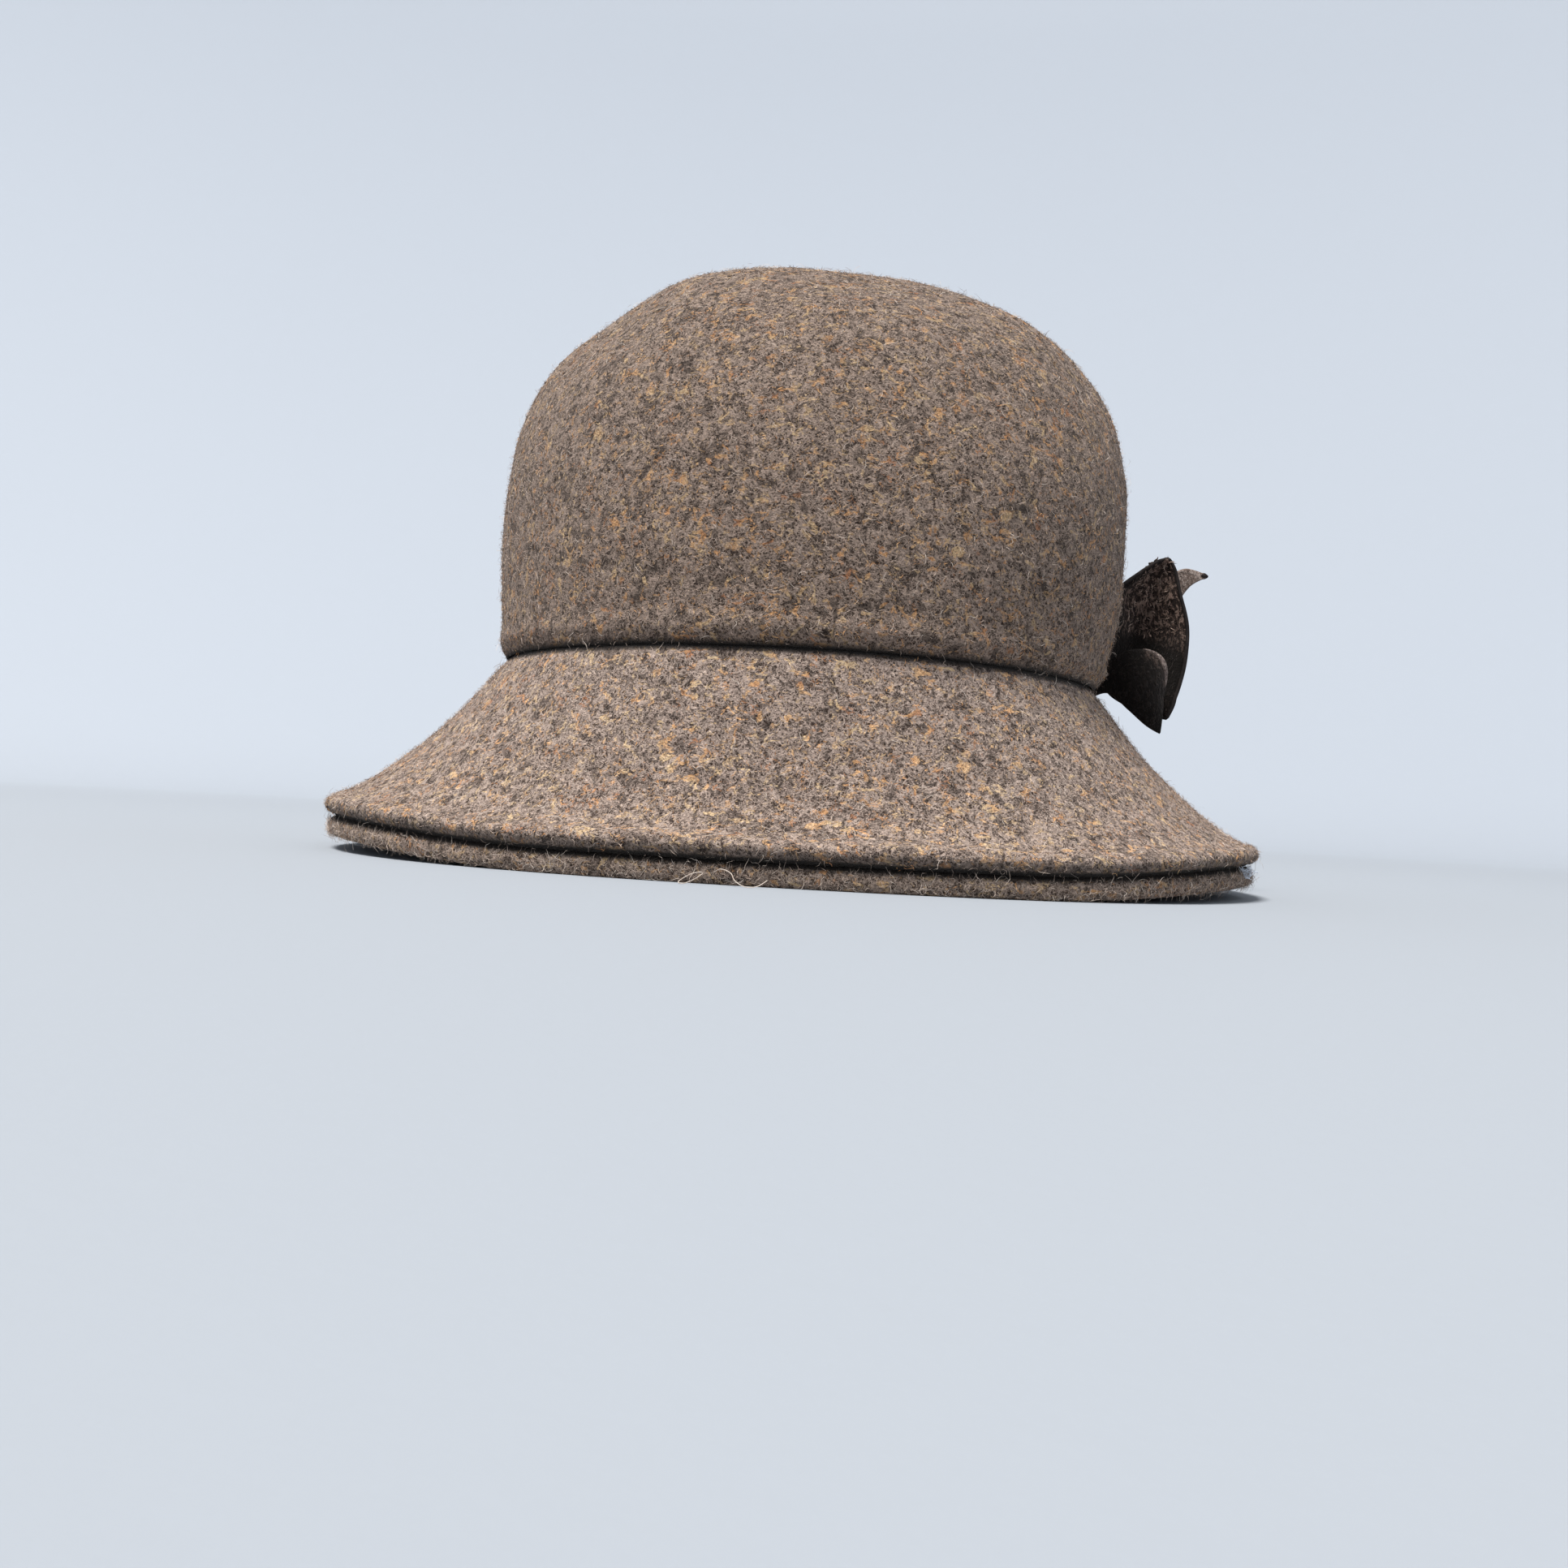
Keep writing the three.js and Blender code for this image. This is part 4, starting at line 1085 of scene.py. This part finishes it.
def make_knot():
    """A small pad with gathers that run round it."""
    rows, columns = 30, 48
    share = np.linspace(0, 1, rows + 2)[1:-1, None]
    turn = np.arange(columns)[None] / columns * TURN
    width = (1 - (2 * share - 1) ** 2) ** KNOT_FULLNESS
    gather = 1 - KNOT_GATHER * np.abs(np.sin(4 * turn + 3 * share))
    up = KNOT_UP + KNOT_HEIGHT / 2 * width * gather * np.sin(turn)
    out = KNOT_REACH / 2 * (1 + width * gather * np.cos(turn))
    grid = beside(KNOT_START + KNOT_LENGTH * share, up, out)
    ends = beside(np.array([KNOT_START, KNOT_START + KNOT_LENGTH]), KNOT_UP, KNOT_REACH / 2)
    points = np.concatenate([grid.reshape(-1, 3), ends])
    make("knot_pad", points, capped_faces(rows, columns), LEAF, "leaf_cloth", "ornament_knot")


def make_leaf_fibres(name, sheet, normal):
    """Slubs and loose fibres on both faces of a leaf."""
    for side, which in ((1, "outer"), (-1, "inner")):
        grid = (sheet + normal * (side * LEAF_WALL / 2))[:, ::side]
        places = leaf_scatter(grid[SLUB_START:], 420)
        piece = f"leaf_{name}_{which}_slubs"
        strands(piece, places, (1.2, 2.4), (0.45, 0.85), (0.02, 0.2), SLUB_WOOL, "leaf_cloth", 3, 0.3)
        places = leaf_scatter(grid, 500)
        piece = f"leaf_{name}_{which}_fuzz"
        strands(piece, places, (0.8, 1.8), (0.06, 0.12), (0.2, 0.9), DARK_WOOL, "leaf_cloth")


def leaf_scatter(grid, count):
    """Random places on an open sheet."""
    rows, columns = grid.shape[:2]
    i = rng.integers(3, rows - 4, count)
    j = rng.integers(3, columns - 4, count)
    points = grid[i, j] + (grid[i + 1, j] - grid[i, j]) * rng.random((count, 1))
    across = unit(grid[i, j + 1] - grid[i, j])
    normals = unit(np.cross(across, grid[i + 1, j] - grid[i, j]))
    return points, normals, across


# Nap, flecks and stray fibres

FLECK_STRETCH = 1.6  # round the hat
FLECK_FIBRES = 9  # in one fleck
FLECK_SPREAD = 0.5


def fleck_places(grid, clusters, weight):
    """Random places in small clusters."""
    points, normals, across = scatter(grid, clusters, weight)
    points, normals, across = (np.repeat(v, FLECK_FIBRES, 0) for v in (points, normals, across))
    side = np.cross(normals, across)
    u, v = rng.normal(0, FLECK_SPREAD, (2, len(points), 1))
    return points + across * u * FLECK_STRETCH + side * v, normals, across


def curl(start, headings, step):
    """A curling hair: each heading is (turn round Z, rise) in degrees, a step apart."""
    path = [np.array(start, float)]
    for turn, rise in headings:
        turn, rise = math.radians(turn), math.radians(rise)
        reach = math.cos(rise)
        way = np.array([math.sin(turn) * reach, -math.cos(turn) * reach, math.sin(rise)])
        path.append(path[-1] + way * step)
    place = np.linspace(0, 1, 8 * len(path))
    path = np.stack([between(column, place) for column in np.transpose(path)], -1)
    path[:, 2] = np.maximum(path[:, 2], FIBRE_FLOOR)
    return path


HAIR_COLUMN = round(352 / 360 * COLUMNS)
HAIR_RADIUS = 0.1
FIRST_HAIR = ((-30, 10), (-60, -10), (-100, -30), (-20, -20), (40, 0), (80, 25), (110, 35))
SECOND_HAIR = ((40, 20), (60, -15), (30, -35), (70, -25), (100, 5), (120, 30))
LINT_COLUMN = round(62 / 360 * COLUMNS)
LINT_WISPS = 34
LINT_RADIUS = 0.085
LINT_SPREAD = 0.7


def make_stray_fibres(roll):
    """Two loose hairs at the front of the rim and a tuft of lint on its right side."""
    start = roll[len(roll) // 2, HAIR_COLUMN]
    hairs = [curl(start, FIRST_HAIR, 2.4), curl(start + [1.5, -0.2, 0.4], SECOND_HAIR, 2.8)]
    make("loose_hairs", *joined(tube(path, HAIR_RADIUS, 5) for path in hairs), HAIR, "tweed")
    middle = roll[len(roll) // 3, LINT_COLUMN]
    wisps = []
    for _ in range(LINT_WISPS):
        turn = rng.uniform(0, 360)
        headings = [(turn + rng.normal(0, 60) + 40 * k, rng.uniform(-25, 60)) for k in range(5)]
        path = curl(middle + rng.normal(0, LINT_SPREAD, 3), headings, 0.9)
        wisps.append(tube(path, LINT_RADIUS, 4))
    make("lint_tuft", *joined(wisps), LINT, "tweed")


def make_nap(crown, crown_weight, brim, brim_weight, roll, roll_weight, under):
    """Short fibres, flecks, hairs and fuzz. A weight keeps them out of gaps between layers."""
    tops = (
        ("crown", crown, crown_weight, 24000, 1300),
        ("brim", brim, brim_weight, 22000, 1050),
    )
    for name, grid, weight, count, clusters in tops:
        places = scatter(grid, count, weight)
        strands(f"{name}_nap_light", places, (1.0, 2.8), (0.09, 0.17), (0.05, 0.6), LIGHT_WOOL, "tweed")
        places = scatter(grid, count * 2 // 3)
        strands(f"{name}_nap_dark", places, (0.9, 2.2), (0.12, 0.22), (0.0, 0.4), DARK_WOOL, "tweed")
        places = fleck_places(grid, clusters, weight)
        strands(f"{name}_flecks", places, (0.8, 1.8), (0.14, 0.28), (0.0, 0.35), OCHRE_WOOL, "tweed")
        places = scatter(grid, 3000, weight)
        strands(f"{name}_hairs", places, (2.2, 4.6), (0.07, 0.12), (0.4, 1.3), HAIR, "tweed", 4, 0.6)
        places = scatter(grid, 14000, weight)
        strands(f"{name}_fuzz", places, (0.9, 2.1), (0.08, 0.13), (0.5, 1.4), LIGHT_WOOL, "tweed")
    places = scatter(roll, 7000, roll_weight)
    strands("roll_nap", places, (1.0, 3.0), (0.08, 0.15), (0.1, 0.8), LIGHT_WOOL, "tweed_under")
    places = scatter(roll, 1200, roll_weight)
    strands("roll_hairs", places, (2.5, 6), (0.06, 0.1), (0.3, 1.2), HAIR, "tweed_under", 5, 0.7)
    places = scatter(under, 5000)
    strands("facing_nap", places, (0.9, 2.4), (0.07, 0.12), (0.1, 0.7), DARK_WOOL, "tweed_under")


# Studio

FLOOR_COLOR = (0.300, 0.320, 0.346)
PAPER_PAINTED_LIGHT = (0.375, 0.402, 0.440)
WALL_NEAR = 0.6  # painted light: the paper's tone goes lighter from floor to wall between these distances, to make up for the key light's falloff
WALL_FAR = 2.4
FLOOR_RADIUS = 1.6  # the paper lies flat this far round the hat
SWEEP_RADIUS = 2.4
STUDIO_TOP = 4
STUDIO_COLUMNS = 96
SWEEP_STEPS = 24


def make_studio():
    """A round sheet of pale paper that turns up into a wall, open above."""
    profile = [(0.01, 0.0), (FLOOR_RADIUS, 0.0)]
    for k in range(1, SWEEP_STEPS + 1):
        turn = k / SWEEP_STEPS * math.pi / 2
        reach = FLOOR_RADIUS + SWEEP_RADIUS * math.sin(turn)
        profile.append((reach, SWEEP_RADIUS * (1 - math.cos(turn))))
    profile.append((FLOOR_RADIUS + SWEEP_RADIUS, STUDIO_TOP))
    angles = np.arange(STUDIO_COLUMNS) / STUDIO_COLUMNS * TURN
    points = [(r * math.sin(a), -r * math.cos(a), z) for r, z in profile for a in angles]
    faces = ring_faces(len(profile), STUDIO_COLUMNS, False).tolist()
    faces.append(list(range(STUDIO_COLUMNS)))
    paper = Cloth("studio_paper", roughness=0.9, specular=0.1)
    away = paper.add("ShaderNodeVectorMath", {0: paper.place}, operation="LENGTH")
    # Painted light: the paper is painted lighter away from the hat, where less of the key light falls.
    color = paper.mix(paper.mask(away.outputs["Value"], WALL_NEAR, WALL_FAR), FLOOR_COLOR, PAPER_PAINTED_LIGHT)
    surface = paper.finish(color, paper.noise(2.5, 3, 0.6), 0.1, 0.3)
    smooth_piece("studio", points, faces, surface)


LIGHT_PLACE = (-1.9, -2.4, 7.4)
LIGHT_TARGET = (0, 0, 0.08)
LIGHT_SIZE = 2.7
LIGHT_POWER = 1090
LIGHT_COLOR = (1.0, 0.985, 0.965)
SKY_COLOR = (0.90, 0.94, 1.0, 1)
SKY_STRENGTH = 0.52


def make_lights():
    """One large soft light from above, left of the camera, and a pale sky."""
    light = bpy.data.lights.new("key", "AREA")
    light.shape = "DISK"
    light.size = LIGHT_SIZE
    light.energy = LIGHT_POWER
    light.color = LIGHT_COLOR
    lamp = placed("key", light)
    lamp.location = LIGHT_PLACE
    way = Vector(LIGHT_TARGET) - Vector(LIGHT_PLACE)
    lamp.rotation_euler = way.to_track_quat("-Z", "Y").to_euler()
    world = bpy.data.worlds.new("studio_world")
    world.use_nodes = True
    background = world.node_tree.nodes["Background"]
    background.inputs["Color"].default_value = SKY_COLOR
    background.inputs["Strength"].default_value = SKY_STRENGTH
    bpy.context.scene.world = world
    bpy.context.scene.view_settings.view_transform = "Standard"


# The camera looks at the front from just above the floor, turned as the photograph's camera was.
CAMERA_PLACE = (0.0013, -0.457, 0.018)
CAMERA_YAW = -0.55
CAMERA_PITCH = 1.0
CAMERA_ROLL = 3.2
CAMERA_LENS = 33.54


def make_camera():
    data = bpy.data.cameras.new("camera")
    data.lens = CAMERA_LENS
    data.sensor_width = 36
    data.clip_start = 0.01
    camera = placed("camera", data)
    yaw, pitch, roll = (math.radians(v) for v in (CAMERA_YAW, CAMERA_PITCH, CAMERA_ROLL))
    ahead = Vector((math.sin(yaw) * math.cos(pitch), math.cos(yaw) * math.cos(pitch), math.sin(pitch)))
    right = Vector((math.cos(yaw), -math.sin(yaw), 0))
    up = right.cross(ahead)
    turned_right = right * math.cos(roll) + up * math.sin(roll)
    turned_up = up * math.cos(roll) - right * math.sin(roll)
    turn = Matrix((turned_right, turned_up, -ahead)).transposed()
    camera.matrix_world = Matrix.Translation(CAMERA_PLACE) @ turn.to_4x4()
    bpy.context.scene.camera = camera


make_camera()
crown_outside, crown_weight = make_crown()
brim_outside, brim_weight = make_brim_top()
facing_roll, roll_weight, facing_under = make_facing()
make_sweatband()
make_ornament()
make_nap(crown_outside, crown_weight, brim_outside, brim_weight, facing_roll, roll_weight, facing_under)
make_stray_fibres(facing_roll)
make_studio()
make_lights()
